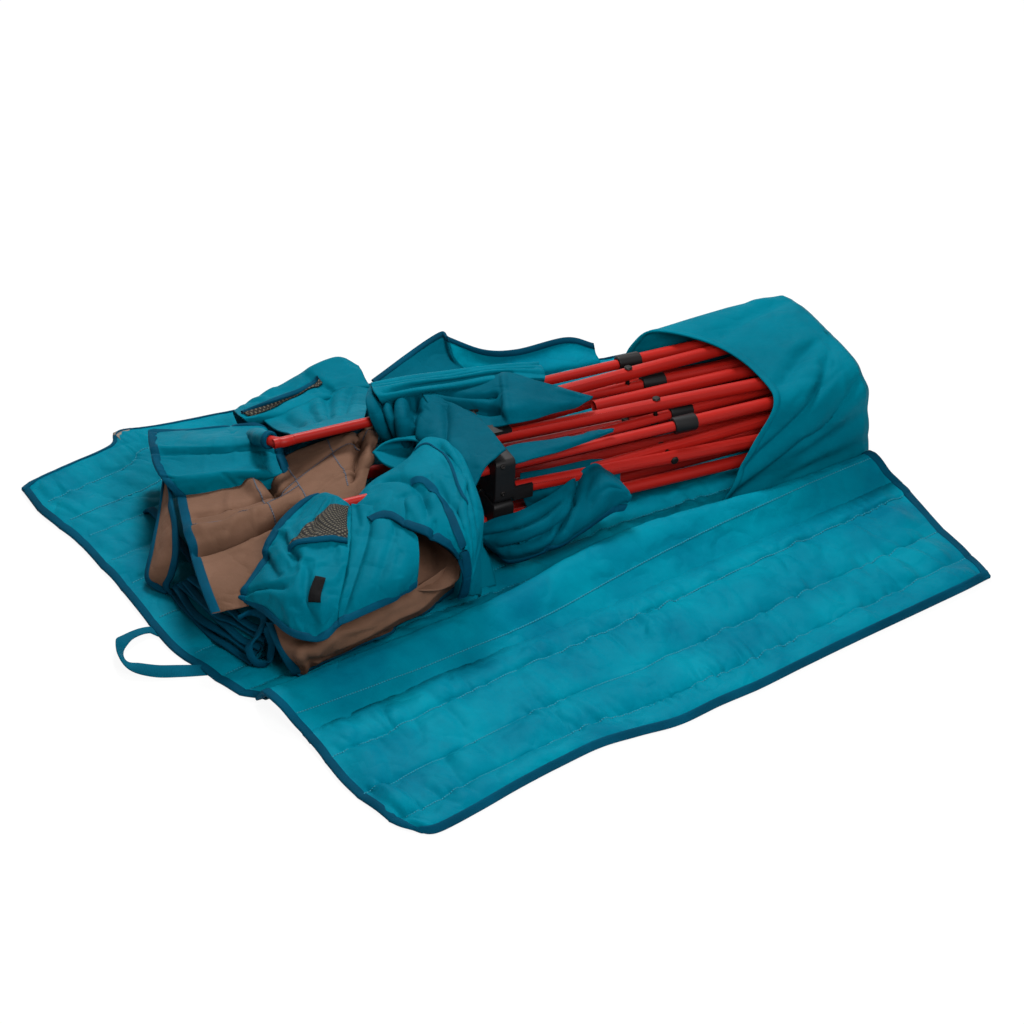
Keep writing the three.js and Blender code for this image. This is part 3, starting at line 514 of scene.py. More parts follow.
def webbing_material(name, dark, light, pitch):
    """Ribbed tape, with ribs across and a herringbone of thread."""
    n = Nodes(name)
    vector = n.place("UV")
    rib = n.wave(vector, "Y", WAVE_PERIOD / (pitch * MM))
    fine = n.wave(n.place("UV", (1, 1, 1), math.radians(45)), "X", WAVE_PERIOD / (TWILL_PITCH * MM))
    height = n.math("ADD", n.math("MULTIPLY", rib, 0.7), n.math("MULTIPLY", fine, 0.3))
    cloud = n.noise(n.place("Object"), 14.0, 3.0)
    colour = n.ramp(cloud, linear(*dark), linear(*light))
    shade = n.ramp(height, (0.7, 0.7, 0.7, 1), (1, 1, 1, 1), 0.0, 0.7)
    n.set(Base_Color=n.blend("MULTIPLY", 0.6, colour, shade))
    n.set(Roughness=n.spread(cloud, 0.62, 0.8), Normal=n.bump(height, 0.4, 0.0006))
    n.set(Specular_IOR_Level=0.03)
    return n.material


def painted_steel():
    n = Nodes("red_painted_steel")
    place = n.place("Object")
    cloud = n.noise(place, 6.0, 3.0)
    colour = n.ramp(cloud, linear(136, 20, 15), linear(152, 25, 18))
    rub = n.noise(n.place("Object", (1, 6, 6)), 26.0, 6.0, 0.7)
    worn = n.ramp(rub, (0, 0, 0, 1), (1, 1, 1, 1), 0.66, 0.8)
    n.set(Base_Color=n.blend("MIX", n.math("MULTIPLY", worn, 0.35), colour, linear(120, 22, 24)))
    peel = n.noise(place, 420.0, 2.0)
    n.set(Roughness=n.spread(rub, 0.34, 0.5), Normal=n.bump(peel, 0.08, 0.0004))
    n.set(Coat_Weight=0.06, Coat_Roughness=0.3, Specular_IOR_Level=0.12)
    return n.material


def moulded_plastic():
    n = Nodes("black_moulded_plastic")
    place = n.place("Object")
    grain = n.noise(place, 900.0, 2.0)
    cloud = n.noise(place, 18.0, 4.0)
    n.set(Base_Color=n.ramp(cloud, linear(10, 9, 10), linear(19, 18, 19)))
    n.set(Roughness=n.spread(cloud, 0.42, 0.56), Normal=n.bump(grain, 0.12, 0.0003))
    n.set(Specular_IOR_Level=0.16)
    return n.material


def metal(name, low, high, roughness):
    n = Nodes(name)
    streak = n.noise(n.place("Object", (1, 9, 1)), 160.0, 4.0)
    n.set(Base_Color=n.ramp(streak, linear(*low), linear(*high)))
    n.set(Metallic=0.85, Roughness=n.spread(streak, roughness - 0.08, roughness + 0.12))
    n.set(Normal=n.bump(streak, 0.08, 0.0003))
    return n.material


def thread_material(name, dark, light):
    """Sewing thread: dashes of stitches along the line."""
    n = Nodes(name)
    vector = n.place("UV")
    stitch = n.wave(vector, "Y", WAVE_PERIOD / (STITCH_PITCH * MM))
    n.set(Base_Color=n.ramp(stitch, linear(*dark), linear(*light), 0.25, 0.6))
    n.set(Roughness=0.7, Normal=n.bump(stitch, 0.8, 0.0008), Specular_IOR_Level=0.25)
    return n.material


def net_material():
    """Open pocket net: dark strands crossing on the slant over paler holes."""
    n = Nodes("pocket_net")
    scale = WAVE_PERIOD / (NET_PITCH * MM)
    one = n.wave(n.place("UV", (1, 1, 1), math.radians(45)), "X", scale)
    two = n.wave(n.place("UV", (1, 1, 1), math.radians(-45)), "X", scale)
    strand = n.math("MAXIMUM", one, two)
    n.set(Base_Color=n.ramp(strand, linear(84, 80, 68), linear(22, 21, 21), 0.5, 0.68))
    n.set(Roughness=0.7, Normal=n.bump(strand, 0.9, 0.0012), Specular_IOR_Level=0.15)
    return n.material


TEAL_GLOSS = linear(0, 190, 215)
BROWN_GLOSS = linear(225, 190, 165)
# The wrap's wide spread from dark to light colour is painted light and shade of the quilting's facets, laid
# over its uneven dye
wrap_cloth = woven("wrap_polyester", (0, 95, 118), (0, 122, 141), 1.1, TEAL_GLOSS, 0.52, 0.5)
chair_cloth = woven("chair_polyester", (0, 86, 104), (0, 104, 123), 1.3, TEAL_GLOSS, 0.6, 0.45)
# Darker copy of the chair cloth: painted shade for cloth that lies in folds, grooves and shadow
painted_shade_cloth = woven("chair_polyester_painted_shade", (0, 66, 82), (0, 82, 100), 1.3, TEAL_GLOSS, 0.6, 0.45)
brown_cloth = woven("brown_lining", (92, 68, 54), (110, 82, 67), 1.0, BROWN_GLOSS, 0.56, 0.4)
binding = webbing_material("edge_binding", (0, 52, 72), (0, 66, 89), 1.6)
webbing = webbing_material("handle_webbing", (0, 66, 86), (2, 84, 106), 2.2)
hook_steel = metal("hook_steel", (70, 62, 56), (120, 110, 102), 0.4)
dark_steel = metal("rivet_steel", (18, 16, 16), (36, 33, 32), 0.5)
red_steel = painted_steel()
black_plastic = moulded_plastic()
quilt_thread = thread_material("quilt_thread", (52, 56, 66), (70, 74, 84))
teal_thread = thread_material("teal_thread", (0, 80, 100), (2, 120, 140))
net_cloth = net_material()
label_cloth = woven("bare_label", (12, 12, 13), (26, 25, 26), 0.7, linear(200, 200, 200), 0.6, 0.5)

# Frame nodes kept from the CAD model

BLACK = ("_foot", "_hub", "_collar")
SOFT = {
    "wrap_panel", "wrap_ridge", "near_flap", "carry_handle", "foot_hood", "near_armrest",
    "far_armrest", "seat_fold", "rolled_skirt", "corner_sleeve", "back_pad", "lower_pad",
    "near_skirt", "under_fold",
}

# Rounding of the edges, in metres and in steps
HUB_EDGE = (0.0045, 4)
PLASTIC_EDGE = (0.0012, 2)
STEEL_EDGE = (0.0006, 2)
WELD_GAP = 0.00005
SHARP_ANGLE = math.radians(50)


def finish_node(name, obj):
    """Gives a node its material and rounds its edges. The wrap's foot hook is rounded as the feet are."""
    material = red_steel
    if name.startswith("wrap_hook"):
        material = hook_steel
    elif name.endswith("_rivet"):
        material = dark_steel
    elif name.endswith(BLACK):
        material = black_plastic
    rounding = STEEL_EDGE
    if name.endswith("_hub"):
        rounding = HUB_EDGE
    elif name.endswith(BLACK):
        rounding = PLASTIC_EDGE
    obj.data.materials.clear()
    obj.data.materials.append(material)
    obj.data.polygons.foreach_set("use_smooth", [True] * len(obj.data.polygons))
    weld = obj.modifiers.new("weld", "WELD")
    weld.merge_threshold = WELD_GAP
    edge = obj.modifiers.new("edge", "BEVEL")
    edge.width, edge.segments = rounding
    edge.limit_method = "ANGLE"
    edge.angle_limit = SHARP_ANGLE
    even = obj.modifiers.new("even", "WEIGHTED_NORMAL")
    even.keep_sharp = True


for node_name, node in nodes.items():
    if node_name not in SOFT:
        finish_node(node_name, node)


def lathe(profile, centre, axis, sides):
    """Vertices and faces of a profile of radii and heights, in millimetres, turned about an axis."""
    axis = np.array(axis, float)
    first = unit(np.cross(axis, (0.3, 0.5, 0.8)))
    second = np.cross(axis, first)
    vertices = [
        np.array(centre) + ((first * x + second * y) * radius + axis * height) * MM
        for radius, height in profile for x, y in round_section(1, sides)
    ]
    faces = [
        (i * sides + k, i * sides + (k + 1) % sides, (i + 1) * sides + (k + 1) % sides, (i + 1) * sides + k)
        for i in range(len(profile) - 1) for k in range(sides)
    ]
    faces.append(tuple(range(sides - 1, -1, -1)))
    faces.append(tuple((len(profile) - 1) * sides + k for k in range(sides)))
    return vertices, faces


SCREW_PROFILE = [(3.8, -0.6), (3.8, 0.5), (3.2, 1.3), (2.0, 1.6), (1.5, 1.5), (1.2, 0.5), (0.4, 0.4)]
SCREW_SPOTS = [(503, 467), (503, 494)]
SCREW_SIDES = 20


def fit(obj, body, slot, *replaced):
    """Rides a finished piece on its body and hides the nodes it stands for. Its slot is not used."""
    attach(obj, body)
    if replaced:
        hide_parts(*replaced)
    return obj


# Screw heads in the face of the near hub that the camera sees
for k, (px, py) in enumerate(SCREW_SPOTS):
    ray = Vector(seen(px, py, 0) - EYE).normalized()
    hit, place, facing, _ = nodes["near_front_hub"].ray_cast(Vector(EYE), ray)
    assert hit
    fit(add_object(f"hub_screw_{k + 1}", *lathe(SCREW_PROFILE, place, facing, SCREW_SIDES), dark_steel),
        "near_front_hub", "dark_steel")

# Wrap


def coons(near, far, head, foot):
    """A grid between four curves. Near and far run from head to foot, head and foot from near to far."""
    u = np.linspace(0, 1, len(near))[None, :, None]
    v = np.linspace(0, 1, len(head))[:, None, None]
    ruled = near[None] * (1 - v) + far[None] * v + head[:, None] * (1 - u) + foot[:, None] * u
    corners = (
        near[0] * (1 - u) * (1 - v) + near[-1] * u * (1 - v)
        + far[0] * (1 - u) * v + far[-1] * u * v
    )
    return ruled - corners


# Quilting: pitches of its noise and widths over which it fades, in metres
PUCKER_PITCH = 0.016
PUCKER_PATCHES = 0.09
PUFF_PATCHES = 0.08
SLACK_PITCH = 0.03
RIM_FADE = 0.03
HEM_FADE = 0.04
HINGE_FADE = 0.06


def quilt(grid, seams, crown, pucker, seed, at_hinge=1.0):
    """Puffs a grid up between seams, with slanting puckers along them.

    A seam is given by its shares of the way down at the head end and at the foot end. Crown and pucker
    are heights in millimetres, and at_hinge is the share of the crown that is left at the last row.
    """
    u, v = cloth_coordinates(grid)
    share = np.linspace(0, 1, grid.shape[0])[:, None]
    along = np.linspace(0, 1, grid.shape[1])
    edges = [0 * along, *(head + (foot - head) * along for head, foot in seams), 0 * along + 1]
    puff = np.zeros(grid.shape[:2])
    closeness = np.zeros(grid.shape[:2])
    for low, high in zip(edges[:-1], edges[1:]):
        inside = (share >= low) & (share <= high)
        local = np.clip((share - low) / (high - low), 0, 1)
        puff = np.where(inside, np.abs(np.sin(math.pi * local)) ** 0.5, puff)
        closeness = np.where(inside, np.abs(2 * local - 1), closeness)
    from_end = np.minimum(u, u.max() - u)
    rim = np.clip(np.minimum(from_end, np.minimum(v, v.max() - v)) / RIM_FADE, 0, 1)
    hem = 0.2 + 0.8 * np.clip(from_end / HEM_FADE, 0, 1)
    hem = hem * (at_hinge + (1 - at_hinge) * np.clip((v.max() - v) / HINGE_FADE, 0, 1))
    waves = np.abs(noise_field(u + 0.3 * v, v, PUCKER_PITCH, seed, 4.0)) - 0.3
    sparse = np.clip(2 * noise_field(u, v, PUCKER_PATCHES, seed + 9) + 0.5, 0, 1) * rim
    broad = noise_field(u, v, PUFF_PATCHES, seed + 5, 1.2)
    slack = np.abs(noise_field(u + 0.2 * v, v, SLACK_PITCH, seed + 13, 3.0)) - 0.25
    lift = crown * puff * hem * (1 + 0.6 * broad)
    lift = lift + pucker * waves * sparse * (0.3 + 0.7 * closeness ** 2)
    lift = lift + 0.7 * pucker * slack * np.sqrt(puff) * rim
    out = grid.copy()
    out[..., 2] += lift * MM
    return out


SEAM_WIDTH = 1.6
SEAM_LIFT = 1.7
RIDGE_SEAM_LIFT = 1.4


def seam_threads(name, grid, seams, margin, count):
    """Thread along the seams of a quilted sheet, which stops short of both ends by a share of the way."""
    threads = []
    for k, (head, foot) in enumerate(seams):
        places = [(margin, head), (0.5, (head + foot) / 2), (1 - margin, foot)]
        threads.append(stitching(
            f"{name}_seam_{k + 1}", grid, places, teal_thread, SEAM_WIDTH, SEAM_LIFT, count,
        ))
    return threads


def sew(obj, grid, body, held, rests_on, trim, *replaced):
    fit(obj, body, "wrap_cloth", *replaced)
    for piece in trim:
        fit(piece, body, "wrap_cloth")


FLAP_NEAR_EDGE = [
    (421, 833, 2), (440, 831, 3), (480, 810, 4), (520, 787, 5), (560, 766, 5), (600, 747, 4),
    (640, 735, 3), (680, 724, 4), (720, 705, 4), (760, 688, 4), (800, 668, 4), (860, 639, 4),
    (920, 611, 4), (960, 592, 4), (990, 577, 4),
]
FLAP_HEAD_EDGE = [
    (421, 833, 2), (398, 826, 3), (378, 812, 3), (358, 797, 3), (340, 780, 4), (322, 757, 5), (306, 737, 7),
]
FLAP_FOOT_EDGE = [
    (990, 577, 4), (980, 566, 4), (965, 551, 4), (950, 537, 4), (935, 522, 4), (920, 505, 5), (906, 488, 6),
]
FLAP_SEAMS = [(0.235, 0.268), (0.5, 0.577), (0.8, 0.95)]
FLAP_HINGE_Y = 246
FLAP_HINGE_Z = 8


def flap_grid():
    across = 320
    down = 120
    head = curve(line_seen(FLAP_HEAD_EDGE), down)
    foot = curve(line_seen(FLAP_FOOT_EDGE), down)
    head[-1] = on_wrap((head[-1] - WRAP_ORIGIN)[0] / MM, FLAP_HINGE_Y, FLAP_HINGE_Z)
    foot[-1] = on_wrap((foot[-1] - WRAP_ORIGIN)[0] / MM, FLAP_HINGE_Y, FLAP_HINGE_Z)
    hinge = head[-1] + (foot[-1] - head[-1]) * np.linspace(0, 1, across)[:, None]
    near = curve(line_seen(FLAP_NEAR_EDGE), across)
    return coons(near, hinge, head, foot)


flap_points = quilt(flap_grid(), FLAP_SEAMS, 9.0, 15.0, 11, 0.4)
flap = sheet_object("quilted_flap", flap_points, wrap_cloth, 3.0)
flap_trim = [
    bind(f"flap_{place}_binding", flap_points, side, 11, 5)
    for place, side in (("near", "top"), ("head", "left"), ("foot", "right"))
]
flap_trim += seam_threads("flap", flap_points, FLAP_SEAMS, 0.012, 240)
sew(flap, flap_points, "near_flap", "laid", ["near_flap"], flap_trim, "near_flap")

# Ridge between the flap and the chair: its crest leans away from the flap at the head end
RIDGE_LEAN = 34
RIDGE_CREST_Y = 279
RIDGE_BULGE = 28
RIDGE_RISE = 38
RIDGE_SEAM = [
    (0.012, 0.3), (0.19, 0.25), (0.375, 0.235), (0.58, 0.28), (0.745, 0.35), (0.893, 0.46), (0.988, 0.48),
]
# Rows over the ridge: shares of the way to its crest and of its height, step past it, tuck at the ends
RIDGE_SECTION = [
    (-0.25, 0.1, 0, 0), (0.0, 0.26, 0, 0), (0.3, 0.46, 0, 2), (0.62, 0.8, 0, 5), (0.88, 0.98, 0, 8),
    (1.0, 1.0, 2, 9), (1.0, 0.92, 9, 8), (1.0, 0.55, 14, 7), (1.0, 0.2, 20, 6),
]


def ridge_grid():
    across = 240
    share = np.linspace(0, 1, across)
    lean = RIDGE_LEAN * (1 - share) ** 1.6
    head_x = (flap_points[-1, 0] - WRAP_ORIGIN)[0] / MM
    foot_x = (flap_points[-1, -1] - WRAP_ORIGIN)[0] / MM
    lifted = np.exp(-((share - 0.6) / 0.2) ** 2)
    crest = RIDGE_CREST_Y + lean + RIDGE_BULGE * lifted
    rise = RIDGE_RISE - 6 * (1 - share) ** 2 + 8 * lifted
    rows = []
    for near_share, up, step, tuck in RIDGE_SECTION:
        y = FLAP_HINGE_Y + (crest - FLAP_HINGE_Y) * near_share + step * (1 + 0.6 * lean / RIDGE_LEAN)
        x = (head_x - tuck) + (foot_x - 14 * near_share - head_x + tuck) * share
        rows.append([on_wrap(*spot) for spot in zip(x, y, rise * up)])
    grid = curve(np.array(rows), 44)
    u, v = cloth_coordinates(grid)
    grid[..., 1] += 0.005 * noise_field(u, v, 0.17, 4, 4.0)
    waves = noise_field(u + 0.5 * v, v, 0.016, 8, 3.5) * np.clip(noise_field(u, v, 0.1, 3) + 0.3, 0, 1)
    return rumple(grid, 1.8, 0.035, 6, 2.0) + normals(grid) * (0.002 * waves)[..., None]


ridge_points = ridge_grid()
ridge = sheet_object("wrap_ridge_fold", ridge_points, wrap_cloth, 2.4)
ridge_trim = [
    bind("ridge_head_binding", ridge_points, "left", 11, 5),
    bind("ridge_foot_binding", ridge_points, "right", 11, 5),
    stitching("ridge_seam", ridge_points, RIDGE_SEAM, teal_thread, SEAM_WIDTH, RIDGE_SEAM_LIFT, 240),
]
sew(ridge, ridge_points, "wrap", "folded", ["wrap_panel"], ridge_trim, "wrap_ridge")

# Quilted base under the chair
BASE_HEAD_EDGE = [
    (266, 699, 3), (242, 695, 3), (222, 684, 3), (200, 669, 3), (170, 648, 3), (142, 615, 3),
    (118, 585, 3), (100, 566, 3), (80, 544, 3), (60, 528, 3), (40, 512, 3), (22, 489, 4),
]
BASE_FAR_SPOTS = [
    (10, 942), (60, 946), (150, 952), (178, 975), (230, 955), (420, 900), (530, 866), (600, 848), (655, 826),
    (700, 788), (780, 744), (870, 712), (962, 690),
]
BASE_FOOT_SPOTS = [(955, 300), (990, 345), (1008, 430), (1022, 520), (1002, 600), (962, 690)]


def base_grid():
    down = 150
    across = 190
    head = curve(line_seen(BASE_HEAD_EDGE), down)
    foot = curve([on_wrap(x, y, 3) for x, y in BASE_FOOT_SPOTS], down)
    far = curve([on_wrap(x, y, 3) for x, y in BASE_FAR_SPOTS], across)
    far[0] = head[-1]
    near = head[0] + (foot[0] - head[0]) * np.linspace(0, 1, across)[:, None]
    return coons(near, far, head, foot)


BASE_SEAMS = [(share, share) for share in (0.1, 0.21, 0.32, 0.43, 0.53, 0.63, 0.73, 0.82, 0.92)]
base_points = quilt(base_grid(), BASE_SEAMS, 6.0, 8.0, 23)
base = sheet_object("quilted_base", base_points, wrap_cloth, 3.0)
base_trim = [
    bind(f"base_{place}_binding", base_points, side, width, 5)
    for place, side, width in (("head", "left", 11), ("far", "bottom", 10), ("foot", "right", 10))
]
base_trim += seam_threads("base", base_points, BASE_SEAMS, 0.015, 180)
sew(base, base_points, "wrap", "laid", ["wrap_panel"], base_trim, "wrap_panel")

# Part of the far side that stands folded up behind the chair
far_points = draped([
    [(372, 381, 10), (405, 356, 24), (440, 333, 40), (450, 338, 44), (484, 350, 40), (517, 350, 36),
     (566, 338, 36), (594, 344, 30)],
    [(385, 388, 8), (415, 372, 14), (445, 356, 20), (456, 358, 26), (488, 362, 24), (520, 362, 22),
     (566, 352, 22), (596, 354, 20)],
    [(400, 396, 14), (430, 386, 14), (455, 374, 14), (466, 370, 15), (492, 372, 15), (524, 372, 15),
     (566, 366, 15), (600, 362, 14)],
    [(402, 404, 2), (432, 395, 2), (457, 383, 2), (468, 379, 2), (494, 381, 2), (526, 381, 2),
     (567, 375, 2), (601, 371, 2)],
], 40, 90, (), [(2.0, 0.05, 31)])
far_points[..., 2] = np.maximum(far_points[..., 2], GROUND)
FAR_TURN = 37
# The corner part takes the darker copy of the chair cloth, painted shade; the rest keeps the wrap's own
# cloth
for name, part, material in (
    ("far_side_fold", far_points[:, FAR_TURN:], wrap_cloth),
    ("far_side_corner", far_points[:, : FAR_TURN + 1], painted_shade_cloth),
):
    turned = sheet_object(name, part, material, 2.4)
    far_trim = [bind(f"{name}_binding", part, "top", 8, 4)]
    sew(turned, part, "wrap", "folded", [base], far_trim)
    for piece in (turned, *far_trim):
        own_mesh(piece)

# Hood over the feet

HOOD_MIDDLE = 84
HOOD_SECTION = [
    (212, 0), (211, 45), (209, 100), (207, 135), (196, 158), (140, 166), (60, 166), (4, 164),
    (-26, 152), (-42, 120), (-50, 66), (-53, 0),
]
HOOD_SWELL = [
    (0.0, 1.0, 0.87), (0.3, 1.0, 0.89), (0.55, 0.99, 0.905), (0.8, 0.98, 0.905), (0.92, 0.97, 0.9),
    (0.97, 0.93, 0.86), (1.0, 0.84, 0.75),
]
HOOD_END = 70
HOOD_CLOSE = ((0.93, 3.0), (0.78, 5.0), (0.55, 5.5), (0.3, 5.5), (0.08, 5.5))
HOOD_MOUTH = [
    (0.0, -190), (0.2, -186), (0.36, -150), (0.5, -84), (0.62, -72), (0.74, -80), (0.86, -122), (1.0, -170),
]
HOOD_CALM = [(0, 1), (0.6, 1), (0.88, 0.35), (0.96, 0.12), (1.0, 0.0)]


def smooth_through(table, values):
    """Values of a smooth curve through a short table of places and heights."""
    fine = curve(np.array(table, float), 200)
    order = np.argsort(fine[:, 0])
    return np.interp(values, fine[order, 0], fine[order, 1])


def hood_grid():
    down = 90
    across = 150
    shares = np.linspace(0, 1, across)
    mouth = smooth_through(HOOD_MOUTH, shares)
    section = curve(np.array(HOOD_SECTION, float), across)
    swell = np.array(HOOD_SWELL)
    rows = []
    for t in np.linspace(0, 1, down):
        wide = np.interp(t, swell[:, 0], swell[:, 1])
        tall = np.interp(t, swell[:, 0], swell[:, 2])
        row = []
        for k, (y, z) in enumerate(section):
            x = mouth[k] + (HOOD_END - mouth[k]) * t
            row.append(on_chair(x, HOOD_MIDDLE + wide * (y - HOOD_MIDDLE), tall * max(z, 0)))
        rows.append(row)
    for narrow, out in HOOD_CLOSE:
        end_wide = wide * narrow
        end_tall = tall * narrow
        rows.append([
            on_chair(HOOD_END + out, HOOD_MIDDLE + end_wide * (y - HOOD_MIDDLE), end_tall * max(z, 0))
            for y, z in section
        ])
    return np.array(rows)


HOOD_CREASES = [
    ((0.98, 0.02), (0.74, 0.9), 9, 13), ((0.96, 0.06), (0.6, 0.8), 8, 11),
    ((0.97, 0.2), (0.86, 0.92), 7, 11), ((0.88, 0.02), (0.5, 0.62), 7, 10),
    ((0.66, 0.05), (0.4, 0.9), 6, 12), ((0.4, 0.06), (0.26, 0.9), 7, 13),
    ((0.82, 0.3), (0.66, 0.98), -7, 12), ((0.55, 0.25), (0.46, 0.95), -6, 12),
]
hood_form = hood_grid()
hood_points = rumple(hood_form, 5.0, 0.09, 41, 1.6)
for values in HOOD_CREASES:
    hood_points = crease(hood_points, *values)
hood_points = wrinkles(hood_points, 22, 2.6, 7, 43, 2.2, 0.8)
calm = np.interp(np.linspace(0, 1, len(hood_form)), *np.array(HOOD_CALM).T)
hood_points = hood_form + (hood_points - hood_form) * calm[:, None, None]
hood_points[..., 2] = np.maximum(hood_points[..., 2], GROUND)
hood = sheet_object("foot_hood_cloth", hood_points, chair_cloth, 2.0)
hood_trim = [bind("hood_mouth_hem", hood_points, "top", 9, 3.4, chair_cloth)]
sew(hood, hood_points, "wrap", "gathered", ["wrap_panel"], hood_trim, "foot_hood")
for piece in (hood, *hood_trim):
    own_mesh(piece)

# Carry handle: its line, and the way that its face leans along it
HANDLE_WIDTH = 17
HANDLE_THICK = 2.4
HANDLE_STEPS = 60
handle_line = curve(line_seen([
    (164, 634, 3), (150, 630, 5), (134, 634, 8), (121, 643, 11), (121, 656, 12),
    (132, 666, 11), (155, 671, 9), (180, 671, 7), (208, 670, 3),
]), HANDLE_STEPS)
handle_lean = curve([
    (0, 0, 1), (0.1, 0.1, 1), (0.3, 0.2, 0.9), (0.8, 0.2, 0.4), (0.7, -0.3, 0.5), (0.3, -0.6, 0.7),
    (0.1, -0.7, 0.7), (0.1, -0.6, 0.8), (0, -0.3, 1),
], HANDLE_STEPS)
forward = unit(np.gradient(handle_line, axis=0))
side = unit(np.cross(handle_lean, forward))
handle = sweep("webbing_handle", handle_line, side, unit(np.cross(forward, side)),
               flat_section(HANDLE_WIDTH, HANDLE_THICK), webbing)
fit(handle, "wrap", "webbing", "carry_handle")

# Chair cloth

HANG_TAPE_THICK = 4.6


def hang(name, grid, body, slot, material, bound=(), replaced=(), thickness=2.4, tape=10):
    """Makes a sheet of the chair's cloth with binding on the named sides, and rides it on its body."""
    obj = sheet_object(name, grid, material, thickness)
    fit(obj, body, slot, *replaced)
    trim = [
        fit(bind(f"{name}_{side}_binding", grid, side, tape, HANG_TAPE_THICK), body, "chair_cloth")
        for side in bound
    ]
    return obj


LEAST_FILL = 0.003


def under_side(grid, belly):
    """The lower face of a stuffed piece: stretched between the upper face's edges, with a belly."""
    lower = coons(grid[0], grid[-1], grid[:, 0], grid[:, -1])
    across = np.sin(math.pi * np.linspace(0, 1, grid.shape[1]))[None, :]
    down = np.sin(math.pi * np.linspace(0, 1, grid.shape[0]))[:, None]
    lower[..., 2] -= belly * MM * across * down
    lower[..., 2] = np.minimum(lower[..., 2], grid[..., 2] - LEAST_FILL * across * down)
    lower[..., 2] = np.maximum(lower[..., 2], GROUND)
    return lower


def stuffed(name, grid, belly, material):
    """A closed stuffed piece with the given upper face."""
    down, across = grid.shape[:2]
    lower = under_side(grid, belly)
    top = grid.reshape(-1, 3)
    faces = grid_faces(down, across)
    index = np.arange(down * across).reshape(down, across)
    inner = index.copy()
    inner[1:-1, 1:-1] = len(top) + np.arange((down - 2) * (across - 2)).reshape(down - 2, across - 2)
    vertices = np.concatenate([top, lower[1:-1, 1:-1].reshape(-1, 3)])
    for i in range(down - 1):
        for k in range(across - 1):
            faces.append((inner[i, k], inner[i + 1, k], inner[i + 1, k + 1], inner[i, k + 1]))
    obj = add_object(name, vertices, [tuple(int(x) for x in f) for f in faces], material)
    both = [np.concatenate([way.ravel(), way[1:-1, 1:-1].ravel()]) for way in cloth_coordinates(grid)]
    lay_uv(obj, *both)
    return obj


SWELL_FRAMES = 20


def swollen(obj, grid, pressure, cap):
    """Swells a stuffed piece by cloth simulation with its rim held, and gives its new upper face."""
    down, across = grid.shape[:2]
    rest = np.array([v.co for v in obj.data.vertices])
    index = np.arange(down * across).reshape(down, across)
    rim = np.concatenate([index[0], index[-1], index[1:-1, 0], index[1:-1, -1]])
    held = obj.vertex_groups.new(name="rim")
    held.add([int(i) for i in rim], 1.0, "REPLACE")
    cloth = obj.modifiers.new("swell", "CLOTH")
    cloth.settings.vertex_group_mass = "rim"
    cloth.settings.use_pressure = True
    cloth.settings.uniform_pressure_force = pressure
    cloth.settings.quality = 6
    cloth.settings.mass = 0.2
    cloth.settings.tension_stiffness = 18
    cloth.settings.compression_stiffness = 18
    cloth.settings.bending_stiffness = 0.5
    cloth.settings.effector_weights.gravity = 0
    cloth.collision_settings.use_collision = False
    cloth.point_cache.frame_start = 1
    cloth.point_cache.frame_end = SWELL_FRAMES
    scene = bpy.context.scene
    for number in range(1, SWELL_FRAMES + 1):
        scene.frame_set(number)
    shape = obj.evaluated_get(bpy.context.evaluated_depsgraph_get()).data
    step = np.array([v.co for v in shape.vertices]) - rest
    reach = np.maximum(np.linalg.norm(step, axis=1), TINY)
    settled = rest + step * np.minimum(1.0, cap * MM / reach)[:, None]
    settled[:, 2] = np.maximum(settled[:, 2], GROUND)
    obj.modifiers.remove(cloth)
    obj.vertex_groups.remove(held)
    obj.data.vertices.foreach_set("co", settled.ravel())
    obj.data.update()
    scene.frame_set(1)
    return settled[: down * across].reshape(down, across, 3)


def padded(name, grid, body, replaced, belly, pressure, cap):
    """Makes a stuffed piece of the chair's cloth and swells it. Gives it with its new upper face."""
    obj = stuffed(name, grid, belly, chair_cloth)
    grid = swollen(obj, grid, pressure, cap)
    fit(obj, body, "chair_cloth", replaced)
    return obj, grid


pillow_points = draped([
    [(151, 447, 60), (186, 442, 60), (222, 438, 60), (256, 436, 60), (272, 446, 60)],
    [(149, 432, 86), (185, 428, 86), (222, 424, 86), (255, 421, 86), (274, 431, 84)],
    [(150, 445, 102), (186, 440, 114), (222, 437, 116), (258, 436, 114), (281, 449, 98)],
    [(154, 463, 106), (188, 460, 112), (222, 459, 112), (258, 458, 110), (286, 463, 98)],
    [(162, 478, 104), (190, 476, 116), (225, 472, 118), (260, 470, 116), (289, 472, 98)],
    [(177, 495, 88), (200, 493, 94), (232, 488, 96), (260, 483, 96), (285, 478, 90)],
    [(182, 500, 74), (204, 500, 78), (234, 496, 82), (261, 491, 84), (284, 486, 80)],
], 70, 70, [
    ((0.0, 0.56), (0.97, 0.54), 12, 5), ((0.8, 0.56), (0.9, 0.85), 4, 6),
], [(2.0, 0.04, 51)], (14, 2.2, 5, 52, 1.4, 0.9))
PILLOW_RIM_ROW = 12
_, pillow_points = padded("pillow_sleeve", pillow_points, "far_back", "corner_sleeve", 6, 4.0, 6)
for side in ("top", "left", "right"):
    tape = bind(f"pillow_{side}_binding", pillow_points[PILLOW_RIM_ROW:], side, 11, 5.6)
    fit(tape, "far_back", "chair_cloth")

